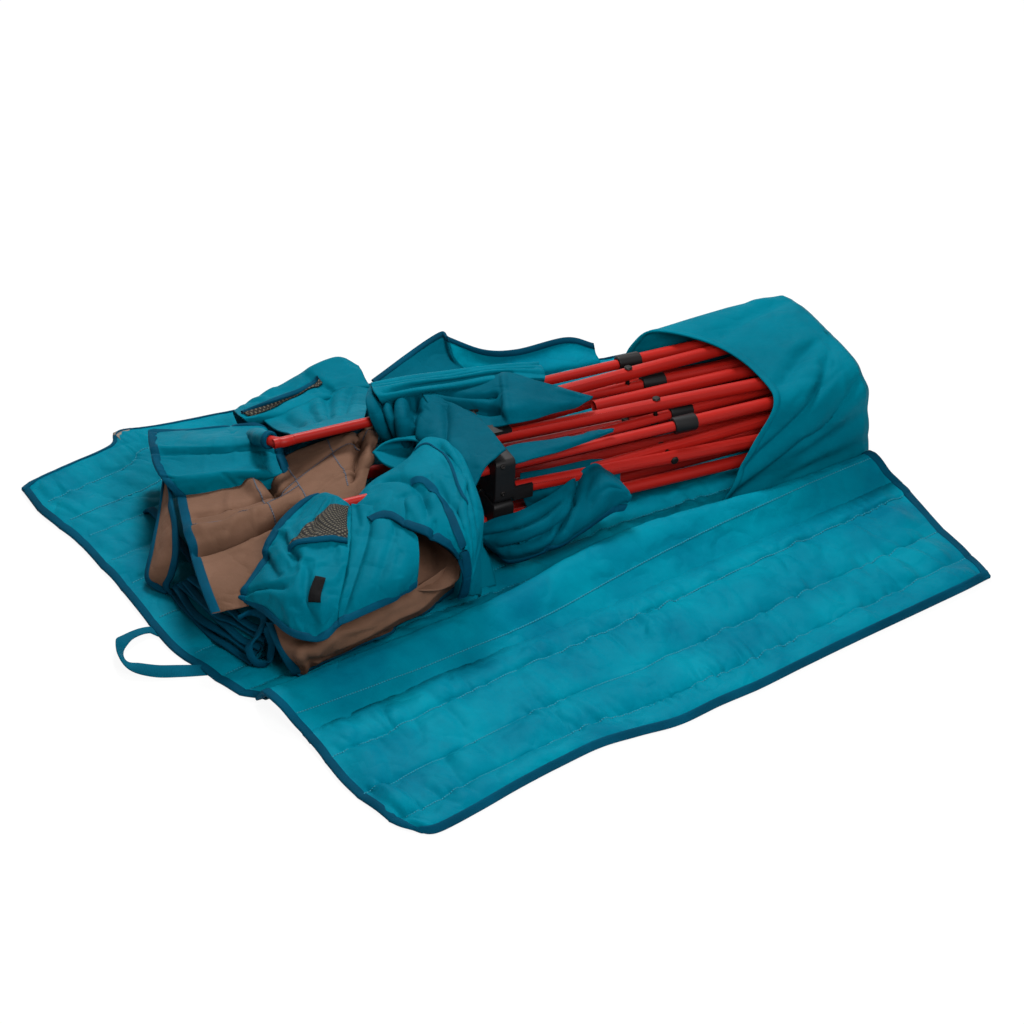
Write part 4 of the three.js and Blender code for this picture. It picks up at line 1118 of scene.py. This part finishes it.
pad_points = draped([
    [(176, 488, 78), (215, 480, 80), (260, 468, 82), (300, 452, 96), (340, 436, 112), (382, 426, 118)],
    [(181, 515, 96), (222, 510, 102), (262, 498, 104), (300, 482, 108), (337, 462, 116), (376, 446, 114)],
    [(187, 540, 106), (225, 536, 110), (262, 524, 112), (300, 508, 114), (335, 485, 114), (370, 466, 112)],
    [(194, 566, 98), (228, 560, 98), (262, 548, 104), (300, 532, 110), (333, 508, 112), (366, 482, 108)],
    [(203, 592, 96), (234, 585, 100), (264, 572, 106), (300, 555, 108), (332, 530, 110), (362, 500, 104)],
    [(212, 614, 80), (240, 608, 84), (270, 598, 90), (302, 582, 96), (332, 560, 98), (356, 525, 98)],
], 100, 120, [
    ((0.02, 0.6), (0.55, 0.52), 26, 8), ((0.03, 0.46), (0.5, 0.42), -12, 13),
    ((0.03, 0.3), (0.42, 0.29), 8, 5), ((0.42, 0.29), (0.95, 0.05), 8, 5),
    ((0.35, 0.1), (0.42, 0.34), 19, 7), ((0.28, 0.12), (0.34, 0.3), -10, 8),
    ((0.86, 0.0), (0.9, 0.6), 14, 8), ((0.94, 0.02), (0.97, 0.5), -8, 8),
], [(4.0, 0.07, 61)], (18, 3.0, 7, 63, 0.3, 1.4))
pad_points = rumple(pad_points, 1.2, 0.025, 62)
hang("quilted_back_pad", pad_points, "chair_base", "brown_cloth", brown_cloth,
     ["left"], ["back_pad"], 3.0, 12)
PAD_SEAMS = [
    [(0.03, 0.3), (0.2, 0.3), (0.42, 0.29), (0.6, 0.24)],
    [(0.42, 0.29), (0.6, 0.2), (0.8, 0.12), (0.98, 0.05)],
    [(0.74, 0.0), (0.78, 0.15), (0.84, 0.32), (0.88, 0.5)],
    [(0.54, 0.08), (0.6, 0.25), (0.66, 0.44)],
    [(0.36, 0.1), (0.42, 0.28), (0.5, 0.5)],
]
for k, places in enumerate(PAD_SEAMS):
    thread = stitching(f"pad_seam_{k + 1}", pad_points, places, quilt_thread, 1.8, 1.9, 90)
    fit(thread, "chair_base", "brown_cloth")

arm_points = draped([
    [(316, 508, 128), (326, 502, 136), (337, 505, 140), (346, 510, 136), (352, 516, 128)],
    [(312, 498, 148), (324, 493, 158), (336, 497, 162), (345, 502, 158), (351, 508, 148)],
    [(287, 514, 142), (304, 512, 158), (322, 513, 164), (338, 515, 164), (351, 522, 154)],
    [(268, 540, 130), (286, 538, 150), (307, 538, 158), (330, 538, 158), (350, 545, 150)],
    [(260, 562, 116), (280, 564, 138), (302, 566, 148), (325, 567, 148), (346, 572, 140)],
    [(240, 593, 98), (264, 590, 118), (290, 596, 130), (315, 600, 132), (340, 602, 124)],
    [(242, 600, 88), (264, 613, 92), (293, 636, 92), (322, 640, 94), (338, 627, 100)],
], 100, 80, [
    ((0.0, 0.86), (0.5, 0.8), 7, 6), ((0.02, 0.6), (0.35, 0.74), 6, 7), ((0.15, 0.42), (0.5, 0.6), 9, 8),
    ((0.62, 0.62), (0.8, 0.98), 5, 6),
], [(3.0, 0.05, 71), (1.2, 0.022, 72)], (18, 3.4, 6, 73, 0.9, 1.0))
ARM_RIM_ROW = 14
arm, arm_points = padded(
    "near_armrest_cloth", arm_points, "near_front_hub", "near_armrest", 10, 2.5, 5,
)
for side in ("left", "bottom"):
    tape = bind(f"near_arm_{side}_binding", arm_points[ARM_RIM_ROW:], side, 10, 5)
    fit(tape, "near_front_hub", "chair_cloth")

# Seat cloth folded over the near arm tube: the fold, its hanging front and the lining that shows in it
fold_points = draped([
    [(358, 545, 70), (378, 520, 76), (407, 508, 82), (427, 492, 84), (456, 500, 88), (472, 528, 92),
     (476, 552, 84), (476, 580, 60), (478, 598, 30)],
    [(350, 510, 118), (370, 486, 138), (405, 464, 154), (427, 439, 166), (456, 449, 168), (476, 490, 158),
     (482, 525, 130), (480, 565, 84), (480, 595, 36)],
    [(353, 505, 142), (383, 488, 160), (410, 476, 170), (434, 466, 175), (454, 482, 172), (468, 512, 162),
     (474, 540, 140), (472, 570, 96), (470, 595, 46)],
    [(362, 514, 150), (390, 504, 164), (410, 502, 168), (432, 506, 168), (450, 522, 160), (462, 542, 146),
     (468, 558, 124), (468, 578, 88), (464, 596, 46)],
    [(372, 522, 152), (388, 518, 158), (406, 527, 158), (425, 536, 152), (442, 544, 142), (455, 553, 130),
     (461, 568, 110), (463, 582, 84), (458, 597, 46)],
], 90, 160, [
    ((0.36, 0.45), (0.72, 0.5), 6, 6), ((0.14, 0.5), (0.34, 0.9), 8, 7), ((0.3, 0.78), (0.62, 0.74), 5, 6),
    ((0.6, 0.62), (0.86, 0.7), 6, 6),
], [(3.0, 0.055, 81, 1.6), (1.2, 0.022, 82)], (22, 3.0, 6, 83, 0.6, 1.0))
hang("seat_cloth_fold", fold_points, "seat_cloth", "chair_cloth", chair_cloth,
     ["bottom"], ["seat_fold"], 2.4, 12)
for k, places in enumerate((
    [(0.26, 0.56), (0.4, 0.66), (0.55, 0.74), (0.7, 0.8), (0.86, 0.84)],
    [(0.3, 0.32), (0.42, 0.4), (0.54, 0.5), (0.64, 0.52)],
)):
    fit(stitching(f"seat_fold_tape_{k + 1}", fold_points, places, binding, 11 - 7 * k, 2.0, 80),
        "seat_cloth", "chair_cloth")

curtain_points = draped([
    [(352, 505, 148), (366, 506, 154), (383, 511, 156), (404, 524, 154), (418, 538, 148)],
    [(346, 540, 138), (365, 540, 148), (385, 538, 154), (404, 545, 150), (419, 556, 138)],
    [(338, 588, 124), (358, 585, 134), (380, 580, 138), (400, 578, 134), (418, 574, 122)],
    [(329, 632, 98), (352, 620, 106), (375, 609, 108), (398, 598, 106), (416, 587, 102)],
], 80, 70, [
    ((0.3, 0.1), (0.12, 0.95), 6, 7), ((0.62, 0.15), (0.45, 0.9), 4, 8),
], [(3.0, 0.05, 91, 2.4)], (10, 2.6, 6, 92, 1.5, 0.5))
hang("seat_cloth_front", curtain_points, "seat_cloth", "chair_cloth", chair_cloth,
     ["bottom"], (), 2.4, 11)

inner_points = draped([
    [(412, 530, 100), (430, 538, 92), (450, 552, 96), (462, 566, 96)],
    [(412, 558, 84), (430, 564, 72), (447, 570, 82), (459, 578, 80)],
    [(410, 590, 84), (425, 592, 80), (440, 590, 74), (453, 584, 68)],
], 50, 50, (), [(4.0, 0.04, 95)])
hang("seat_lining", inner_points, "seat_cloth", "brown_cloth", brown_cloth)

lower_points = draped([
    [(266, 622, 76), (300, 630, 82), (328, 632, 86), (360, 614, 90), (390, 600, 90), (415, 588, 88),
     (452, 562, 84)],
    [(276, 645, 58), (302, 652, 64), (328, 645, 70), (362, 629, 74), (393, 613, 74), (420, 600, 72),
     (454, 571, 68)],
    [(290, 670, 26), (310, 662, 34), (330, 655, 42), (365, 638, 50), (395, 622, 52), (424, 606, 52),
     (456, 578, 50)],
    [(294, 676, 9), (316, 667, 11), (345, 653, 13), (372, 640, 16), (400, 626, 18), (428, 610, 20),
     (452, 592, 22)],
], 60, 130, [
    ((0.12, 0.2), (0.05, 0.95), 6, 6), ((0.3, 0.4), (0.95, 0.35), 5, 7),
], [(3.5, 0.045, 101)], (14, 3.0, 6, 102, 1.2, 0.9))
hang("lower_pad_fold", lower_points, "chair_base", "brown_cloth", brown_cloth,
     ["bottom", "left"], ["lower_pad"], 2.4, 12)

roll_points = draped([
    [(374, 400, 140), (412, 394, 148), (452, 390, 150), (497, 384, 150), (540, 382, 150)],
    [(371, 384, 162), (410, 376, 170), (450, 371, 174), (495, 366, 176), (538, 364, 174)],
    [(372, 388, 174), (412, 381, 184), (452, 376, 187), (498, 369, 187), (543, 369, 182)],
    [(375, 394, 176), (414, 386, 182), (455, 381, 184), (500, 374, 184), (545, 375, 178)],
    [(379, 399, 172), (416, 391, 182), (457, 386, 184), (501, 379, 184), (545, 379, 178)],
    [(382, 404, 160), (418, 397, 166), (458, 392, 170), (500, 385, 168), (543, 383, 164)],
], 90, 120, [
    ((0.0, 0.42), (1.0, 0.4), 9, 4), ((0.02, 0.58), (0.94, 0.57), 9, 4), ((0.05, 0.75), (0.8, 0.72), 8, 4),
], [(2.2, 0.06, 111, 0.25)])
hang("rolled_skirt_cloth", roll_points, "skirt_cloth", "chair_cloth", chair_cloth,
     [], ["rolled_skirt"])

corner_points = draped([
    [(420, 391, 170), (450, 388, 176), (482, 381, 182), (507, 373, 188), (535, 381, 184), (566, 390, 176),
     (593, 397, 168)],
    [(424, 398, 176), (455, 399, 178), (486, 396, 176), (508, 388, 188), (537, 392, 184), (566, 397, 176),
     (590, 400, 168)],
    [(430, 406, 174), (460, 412, 170), (488, 414, 160), (510, 405, 186), (540, 406, 180), (562, 406, 173),
     (582, 404, 167)],
    [(437, 412, 166), (464, 424, 164), (490, 428, 160), (512, 424, 172), (536, 419, 170), (556, 412, 168),
     (574, 408, 165)],
], 70, 120, [
    ((0.06, 0.35), (0.46, 0.8), 9, 6), ((0.1, 0.15), (0.44, 0.45), 8, 5),
    ((0.51, 0.05), (0.52, 0.95), -4, 4),
], [(2.5, 0.05, 121)], (8, 2.4, 6, 122, 0.5, 0.6))
hang("skirt_corner", corner_points, "skirt_cloth", "chair_cloth", painted_shade_cloth)

skirt_points = draped([
    [(478, 526, 84), (498, 518, 92), (522, 510, 98), (556, 492, 102), (581, 471, 106), (595, 464, 106),
     (606, 470, 100), (618, 480, 94)],
    [(477, 533, 76), (500, 528, 86), (530, 520, 92), (562, 503, 96), (586, 482, 100), (600, 475, 108),
     (613, 481, 104), (626, 488, 94)],
    [(482, 540, 62), (503, 540, 70), (532, 534, 78), (562, 521, 82), (586, 502, 88), (602, 490, 102),
     (616, 489, 100), (632, 496, 90)],
    [(490, 548, 44), (506, 552, 50), (532, 548, 58), (560, 538, 64), (584, 522, 72), (602, 508, 86),
     (614, 502, 86), (628, 503, 80)],
    [(500, 556, 26), (510, 562, 28), (532, 556, 36), (556, 547, 44), (580, 533, 54), (598, 520, 66),
     (612, 512, 72), (624, 510, 72)],
], 80, 130, [
    ((0.05, 0.4), (0.5, 0.2), 9, 6), ((0.68, 0.02), (0.6, 0.4), 14, 7), ((0.6, 0.4), (0.4, 0.92), 12, 7),
    ((0.1, 0.7), (0.5, 0.55), 8, 6),
], [(3.0, 0.05, 131)], (10, 2.6, 6, 132, -0.5, 0.5))
hang("near_skirt_cloth", skirt_points, "chair_base", "chair_cloth", painted_shade_cloth,
     ["bottom"], ["near_skirt"], 2.4, 9)

far_arm_points = draped([
    [(240, 430, 40), (262, 420, 44), (288, 408, 48), (316, 392, 50), (340, 386, 52), (358, 392, 50)],
    [(233, 412, 70), (257, 398, 80), (285, 383, 86), (315, 364, 92), (340, 356, 94), (358, 366, 90)],
    [(240, 417, 88), (265, 407, 96), (292, 394, 99), (320, 379, 100), (345, 373, 100), (366, 380, 94)],
    [(250, 424, 80), (278, 418, 90), (305, 407, 94), (330, 395, 94), (352, 388, 94), (373, 392, 86)],
    [(262, 432, 56), (290, 428, 60), (315, 418, 64), (338, 410, 68), (356, 404, 70), (378, 403, 66)],
], 80, 90, [
    ((0.05, 0.62), (0.6, 0.55), 6, 6), ((0.55, 0.3), (0.75, 0.9), 6, 7),
], [(3.0, 0.05, 141)], (14, 3.0, 6, 142, 0.6, 1.0))
FAR_ARM_RIM_ROW = 16
far_arm, far_arm_points = padded(
    "far_armrest_cloth", far_arm_points, "far_front_hub", "far_armrest", 12, 2.5, 5,
)
tape = bind("far_arm_binding", far_arm_points[FAR_ARM_RIM_ROW:], "bottom", 9, 4.6)
fit(tape, "far_front_hub", "chair_cloth")

# Loose cloth between the pillow, the far armrest and the hubs
side_points = draped([
    [(276, 436, 60), (306, 420, 66), (340, 407, 70), (372, 398, 76), (398, 392, 90)],
    [(284, 452, 74), (308, 440, 78), (338, 426, 72), (368, 414, 82), (396, 404, 108)],
    [(290, 474, 86), (312, 458, 92), (340, 440, 84), (366, 428, 90), (394, 420, 112)],
    [(300, 482, 84), (322, 470, 88), (346, 455, 84), (370, 446, 88), (396, 440, 104)],
], 70, 90, [
    ((0.1, 0.5), (0.5, 0.35), 6, 7), ((0.75, 0.05), (0.68, 0.9), 8, 8),
], [(4.0, 0.05, 161)], (18, 4.0, 6, 162, 2.2, 0.9))
hang("side_cloth", side_points, "chair_base", "chair_cloth", painted_shade_cloth,
     ["left"])

hub_points = draped([
    [(370, 386, 158), (398, 391, 168), (420, 392, 174), (448, 402, 176), (480, 420, 178), (506, 450, 176)],
    [(366, 402, 168), (398, 412, 170), (421, 416, 172), (446, 420, 176), (474, 436, 177), (497, 458, 176)],
    [(374, 426, 146), (402, 434, 148), (420, 438, 158), (442, 440, 172), (464, 452, 174), (486, 468, 172)],
    [(390, 448, 100), (408, 456, 108), (424, 458, 132), (440, 460, 152), (458, 470, 162), (476, 486, 160)],
], 80, 110, [
    ((0.2, 0.0), (0.16, 0.95), 20, 7), ((0.1, 0.05), (0.07, 0.9), 12, 6), ((0.4, 0.1), (0.34, 0.95), 18, 8),
    ((0.3, 0.05), (0.26, 0.9), -9, 8), ((0.62, 0.05), (0.66, 0.8), 6, 7),
], [(3.5, 0.05, 171)], (10, 3.0, 6, 172, 1.6, 0.5))
hang("hub_cloth", hub_points, "skirt_cloth", "chair_cloth", painted_shade_cloth)

wedge_points = draped([
    [(497, 452, 152), (512, 446, 154), (545, 441, 154), (580, 435, 152), (609, 429, 148), (613, 430, 146)],
    [(502, 458, 156), (520, 454, 158), (552, 447, 158), (584, 439, 155), (609, 431, 150), (613, 431, 147)],
    [(512, 465, 152), (528, 461, 154), (556, 453, 153), (585, 443, 151), (609, 433, 147), (613, 432, 146)],
], 24, 80, (), [(2.0, 0.05, 175)], (5, 2.0, 5, 176, 0.0, 0.4))
hang("skirt_wedge", wedge_points, "skirt_cloth", "chair_cloth", painted_shade_cloth)

panel_points = draped([
    [(520, 474, 96), (552, 468, 96), (584, 461, 94), (602, 459, 88), (612, 462, 82)],
    [(520, 484, 92), (552, 480, 94), (584, 474, 92), (606, 469, 86), (617, 470, 80)],
    [(522, 495, 86), (554, 491, 90), (586, 486, 90), (608, 480, 84), (620, 480, 80)],
    [(528, 510, 60), (556, 504, 62), (584, 496, 64), (604, 490, 62), (614, 488, 62)],
], 50, 80, (), [(2.0, 0.05, 177)], (8, 3.0, 6, 178, 0.2, 0.6))
hang("skirt_panel", panel_points, "chair_base", "chair_cloth", painted_shade_cloth)

# Mouth of the empty sleeve beside the pad: a short tube of cloth seen from its open end
SLEEVE_RIM = [
    (374, 452, 134), (384, 444, 142), (398, 440, 148), (414, 440, 152), (426, 446, 154), (428, 458, 150),
    (416, 466, 142), (400, 469, 136), (384, 463, 132), (374, 452, 134),
]
SLEEVE_DEPTH = np.array([0.75, 0.1, -0.2]) * 0.06
# Shares of the depth and of the rim's width, from inside the sleeve out over its rim
SLEEVE_SECTION = [(1.0, 0.5), (0.5, 0.82), (0.1, 0.97), (0.0, 1.0), (0.12, 1.06), (0.6, 1.02)]


def sleeve_grid():
    rim = curve(line_seen(SLEEVE_RIM), 72)
    middle = rim.mean(axis=0)
    rows = []
    for share, narrow in SLEEVE_SECTION:
        rows.append(middle + (rim - middle) * narrow + SLEEVE_DEPTH * share)
    return curve(np.array(rows), 36)


sleeve_points = rumple(sleeve_grid(), 2.0, 0.04, 181)
hang("sleeve_mouth", sleeve_points, "seat_cloth", "chair_cloth", chair_cloth)

# Bound edges of the folded skirt at the head end, and the loops beside them
for k, bend in enumerate((0, 5, -4, 6, -3)):
    edge_points = draped([
        [(168 + 5 * k, 592 - 3 * k, 10 + 9 * k), (190 + 6 * k, 618 - 4 * k + bend, 10 + 9 * k),
         (220 + 6 * k - bend, 645 - 5 * k - bend, 10 + 9 * k), (252 + 4 * k, 666 - 8 * k, 10 + 9 * k)],
        [(186 + 5 * k, 584 - 3 * k, 13 + 9 * k), (208 + 6 * k, 606 - 4 * k, 15 + 9 * k),
         (238 + 5 * k, 630 - 5 * k, 15 + 9 * k), (268 + 3 * k, 648 - 8 * k, 13 + 9 * k)],
    ], 16, 60, (), [(6.0, 0.04, 190 + k)])
    hang(f"skirt_edge_{k + 1}", edge_points, "chair_base", "chair_cloth", chair_cloth,
         ["top"], (), 2.0, 10)

loop_points = draped([
    [(164, 478, 78), (160, 505, 66), (153, 545, 44), (146, 576, 22), (154, 588, 14), (166, 594, 12)],
    [(170, 492, 82), (168, 520, 72), (164, 552, 54), (156, 574, 34), (160, 584, 20), (170, 592, 14)],
    [(168, 486, 88), (176, 520, 80), (178, 552, 62), (174, 574, 40), (168, 586, 24), (172, 594, 16)],
], 36, 80, (), [(2.0, 0.04, 199)])
hang("head_edge_loop", loop_points, "chair_base", "brown_cloth", brown_cloth,
     ["top", "bottom"], (), 2.0, 9)

CURL_WIDTH = 11
CURL_THICK = 3.0
curl_line = curve(line_seen([
    (238, 618, 70), (252, 612, 74), (264, 618, 68), (258, 634, 52), (249, 648, 36),
    (256, 662, 20), (268, 662, 20), (272, 646, 40), (268, 630, 60), (276, 624, 70),
]), 90)
curl_side, curl_up = frames(curl_line, (0.5, -0.4, 0.8))
curl = sweep("edge_curl", curl_line, curl_up, curl_side, flat_section(CURL_WIDTH, CURL_THICK), binding)
fit(curl, "chair_base", "chair_cloth")

LAID_STEPS = 26


def laid_on(grid, corners, lift):
    """A small grid that follows a larger one between four places, given as shares, raised from its face."""
    first, second, third, fourth = np.array(corners, float)
    rows = []
    for share in np.linspace(0, 1, LAID_STEPS):
        left = first + (third - first) * share
        right = second + (fourth - second) * share
        line, _ = on_grid(grid, [left, (left + right) / 2, right], LAID_STEPS, lift)
        rows.append(line)
    return np.array(rows)


# Cup pocket of net and the bare label on the near armrest, and the net of the far one
pocket_points = laid_on(arm_points, [(0.56, 0.27), (0.86, 0.25), (0.33, 0.55), (0.97, 0.5)], 3.4)
pocket_points = crease(pocket_points, (0.3, 0.1), (0.5, 0.9), -4, 9)
hang("near_cup_net", pocket_points, "near_front_hub", "chair_cloth", net_cloth,
     ["bottom"], (), 1.4, 7)
label_points = laid_on(arm_points, [(0.69, 0.72), (0.8, 0.725), (0.7, 0.84), (0.81, 0.845)], 1.6)
hang("bare_label", label_points, "near_front_hub", "black_plastic", label_cloth, (), (), 1.2)
far_net_points = laid_on(far_arm_points, [(0.03, 0.44), (0.6, 0.44), (0.06, 0.54), (0.62, 0.52)], 2.0)
hang("far_cup_net", far_net_points, "far_front_hub", "chair_cloth", net_cloth,
     ["top"], (), 1.4, 6)

# Bent end of the far arm tube, which runs down into the pillow
TUBE_BEND = np.array([-0.19, 0.1541, 0.1487])
TUBE_RADIUS = 7.15
bent_line = curve([
    TUBE_BEND, (-0.208, 0.1572, 0.1495), seen(268, 440, 146), seen(262, 438, 134), seen(258, 437, 116),
    seen(255, 438, 98),
], 40)
bent_side, bent_up = frames(bent_line, (0, 0, 1))
tube_end = sweep("far_arm_tube_end", bent_line, bent_side, bent_up,
                 round_section(TUBE_RADIUS, 20), red_steel)
fit(tube_end, "far_front_hub", "red_paint")

CUFF_START = 14
CUFF_RADIUS = 9.5
CUFF_FLARE = 4


def cuff_grid():
    line = bent_line[CUFF_START:]
    side, lift = frames(line, (0, 0, 1))
    turns = np.linspace(0, 2 * math.pi, 41)
    swell = CUFF_RADIUS + CUFF_FLARE * np.linspace(0, 1, len(line)) ** 1.5
    ring = (
        np.cos(turns)[None, :, None] * side[:, None, :]
        + np.sin(turns)[None, :, None] * lift[:, None, :]
    )
    return line[:, None, :] + ring * (swell * MM)[:, None, None]


cuff_points = wrinkles(rumple(cuff_grid(), 1.6, 0.03, 185), 8, 1.6, 4, 186, 1.5, 0.4)
hang("tube_cuff", cuff_points, "far_front_hub", "chair_cloth", chair_cloth,
     ["top"], (), 1.8, 7)

# Sling of cloth that holds the far armrest to its tube
SLING_WAY = np.array([0.985, -0.17, -0.044])
SLING_LENGTH = 0.11
SLING_HEM = ((0.95, 0.3), (0.7, -0.7), (0.1, -1.0))
SLING_RADIUS = 8.6
SLING_SAG = 5


def sling_grid():
    share = np.linspace(0, 1, 9)
    axis = TUBE_BEND + SLING_WAY * SLING_LENGTH * share[:, None]
    away = unit(np.cross((0, 0, 1), SLING_WAY))
    top, _ = on_grid(far_arm_points, [(0.1, 0.74), (0.5, 0.7), (0.97, 0.72)], len(share), -1.0)
    hems = [axis + (away * far + np.array([0, 0, up])) * SLING_RADIUS * MM for far, up in SLING_HEM]
    middle = (top + hems[0]) / 2 - np.array([0, 0, SLING_SAG * MM])
    return patch([top, middle, *hems], 50, 60)


sling_points = sling_grid()
for head, foot in ((0.16, 0.24), (0.4, 0.44), (0.62, 0.58), (0.84, 0.74)):
    sling_points = crease(sling_points, (head, 0.04), (foot, 0.62), 7, 7)
sling_points = wrinkles(rumple(sling_points, 1.2, 0.05, 187), 8, 2.0, 5, 188, 1.5, 0.5)
hang("far_arm_sling", sling_points, "far_front_hub", "chair_cloth", chair_cloth)

# Folded skirt that lies on the wrap under the posts
UNDER_HUB = -522
UNDER_TIP = -880
UNDER_NEAR = -55
UNDER_WIDTH = 348
# Shares of the way across the skirt, and heights in millimetres
UNDER_SECTION = [
    (-0.06, 0), (0.0, 30), (0.12, 40), (0.3, 44), (0.5, 40), (0.7, 44), (0.88, 38), (1.0, 28), (1.05, 0),
]


def under_grid():
    rows = []
    for share, up in UNDER_SECTION:
        row = []
        for step in np.linspace(0, 1, 9):
            x = UNDER_HUB + (UNDER_TIP - UNDER_HUB) * step
            y = UNDER_NEAR - 15 * step + (UNDER_WIDTH - 10 * step) * share
            spot = in_chair(x, y, 0)
            droop = 1 - 0.5 * step**4
            spot[2] = GROUND + up * droop * MM
            row.append(spot)
        rows.append(row)
    return patch(rows, 90, 80)


under_points = rumple(under_grid(), 3.0, 0.05, 151)
hang("under_fold_cloth", under_points, "chair_base", "chair_cloth", chair_cloth,
     ["right"], ["under_fold"], 2.4, 10)

# Stage, light and camera

FLOOR_HALF = 6.0
FLOOR_WHITE = 0.93
FLOOR_DROP = 0.0005
WORLD_LIGHT = 0.26


def stage_floor():
    n = Nodes("studio_floor")
    n.set(Base_Color=linear(250, 250, 250), Roughness=0.9, Specular_IOR_Level=0.1)
    glow = n.add("ShaderNodeEmission")
    ray = n.add("ShaderNodeLightPath")
    mix = n.add("ShaderNodeMixShader")
    seen_by = n.math("MAXIMUM", ray.outputs["Is Camera Ray"], ray.outputs["Is Glossy Ray"])
    seen_by = n.math("MAXIMUM", seen_by, ray.outputs["Is Transmission Ray"])
    n.join(n.math("MULTIPLY", seen_by, FLOOR_WHITE), mix.inputs["Fac"])
    n.join(n.shader.outputs["BSDF"], mix.inputs[1])
    n.join(glow.outputs["Emission"], mix.inputs[2])
    n.join(mix.outputs["Shader"], n.tree.nodes["Material Output"].inputs["Surface"])
    corners = [(-FLOOR_HALF, -FLOOR_HALF, 0), (FLOOR_HALF, -FLOOR_HALF, 0),
               (FLOOR_HALF, FLOOR_HALF, 0), (-FLOOR_HALF, FLOOR_HALF, 0)]
    floor = add_object("studio_floor", corners, [(0, 1, 2, 3)], n.material)
    floor.location.z = -FLOOR_DROP


def area_light(name, place, size, watts):
    data = bpy.data.lights.new(name, "AREA")
    data.shape = "DISK"
    data.size = size
    data.energy = watts
    obj = bpy.data.objects.new(name, data)
    obj.location = place
    obj.rotation_euler = (-Vector(place)).to_track_quat("-Z", "Y").to_euler()
    bpy.context.scene.collection.objects.link(obj)


def studio_world():
    world = bpy.data.worlds.new("studio")
    world.use_nodes = True
    bpy.context.scene.world = world
    tree = world.node_tree
    tree.nodes.clear()
    kinds = ("OutputWorld", "Background", "Background", "LightPath", "Math", "Math", "MixShader")
    out, light, white, ray, either, every, mix = [tree.nodes.new(f"ShaderNode{kind}") for kind in kinds]
    for node, strength in ((light, WORLD_LIGHT), (white, 1.0)):
        node.inputs["Color"].default_value = (1, 1, 1, 1)
        node.inputs["Strength"].default_value = strength
    either.operation = "MAXIMUM"
    every.operation = "MAXIMUM"
    for source, target in (
        (ray.outputs["Is Camera Ray"], either.inputs[0]),
        (ray.outputs["Is Transmission Ray"], either.inputs[1]),
        (either.outputs["Value"], every.inputs[0]),
        (ray.outputs["Is Glossy Ray"], every.inputs[1]),
        (every.outputs["Value"], mix.inputs["Fac"]),
        (light.outputs["Background"], mix.inputs[1]),
        (white.outputs["Background"], mix.inputs[2]),
        (mix.outputs["Shader"], out.inputs["Surface"]),
    ):
        tree.links.new(source, target)


def photo_camera():
    data = bpy.data.cameras.new("photo_camera")
    data.sensor_width = SENSOR
    data.lens = SENSOR * FOCAL_PIXELS / IMAGE_SIZE
    data.clip_start = 0.1
    data.clip_end = 60
    camera = bpy.data.objects.new("photo_camera", data)
    camera.location = Vector(EYE)
    camera.rotation_euler = (-Vector(BACK)).to_track_quat("-Z", "Y").to_euler()
    bpy.context.scene.collection.objects.link(camera)
    bpy.context.scene.camera = camera


stage_floor()
area_light("key", (0.5, 1.0, 1.85), 0.6, 54)
area_light("fill", (-0.35, -1.35, 1.4), 1.0, 31)
studio_world()
photo_camera()
bpy.context.scene.view_settings.view_transform = "Standard"
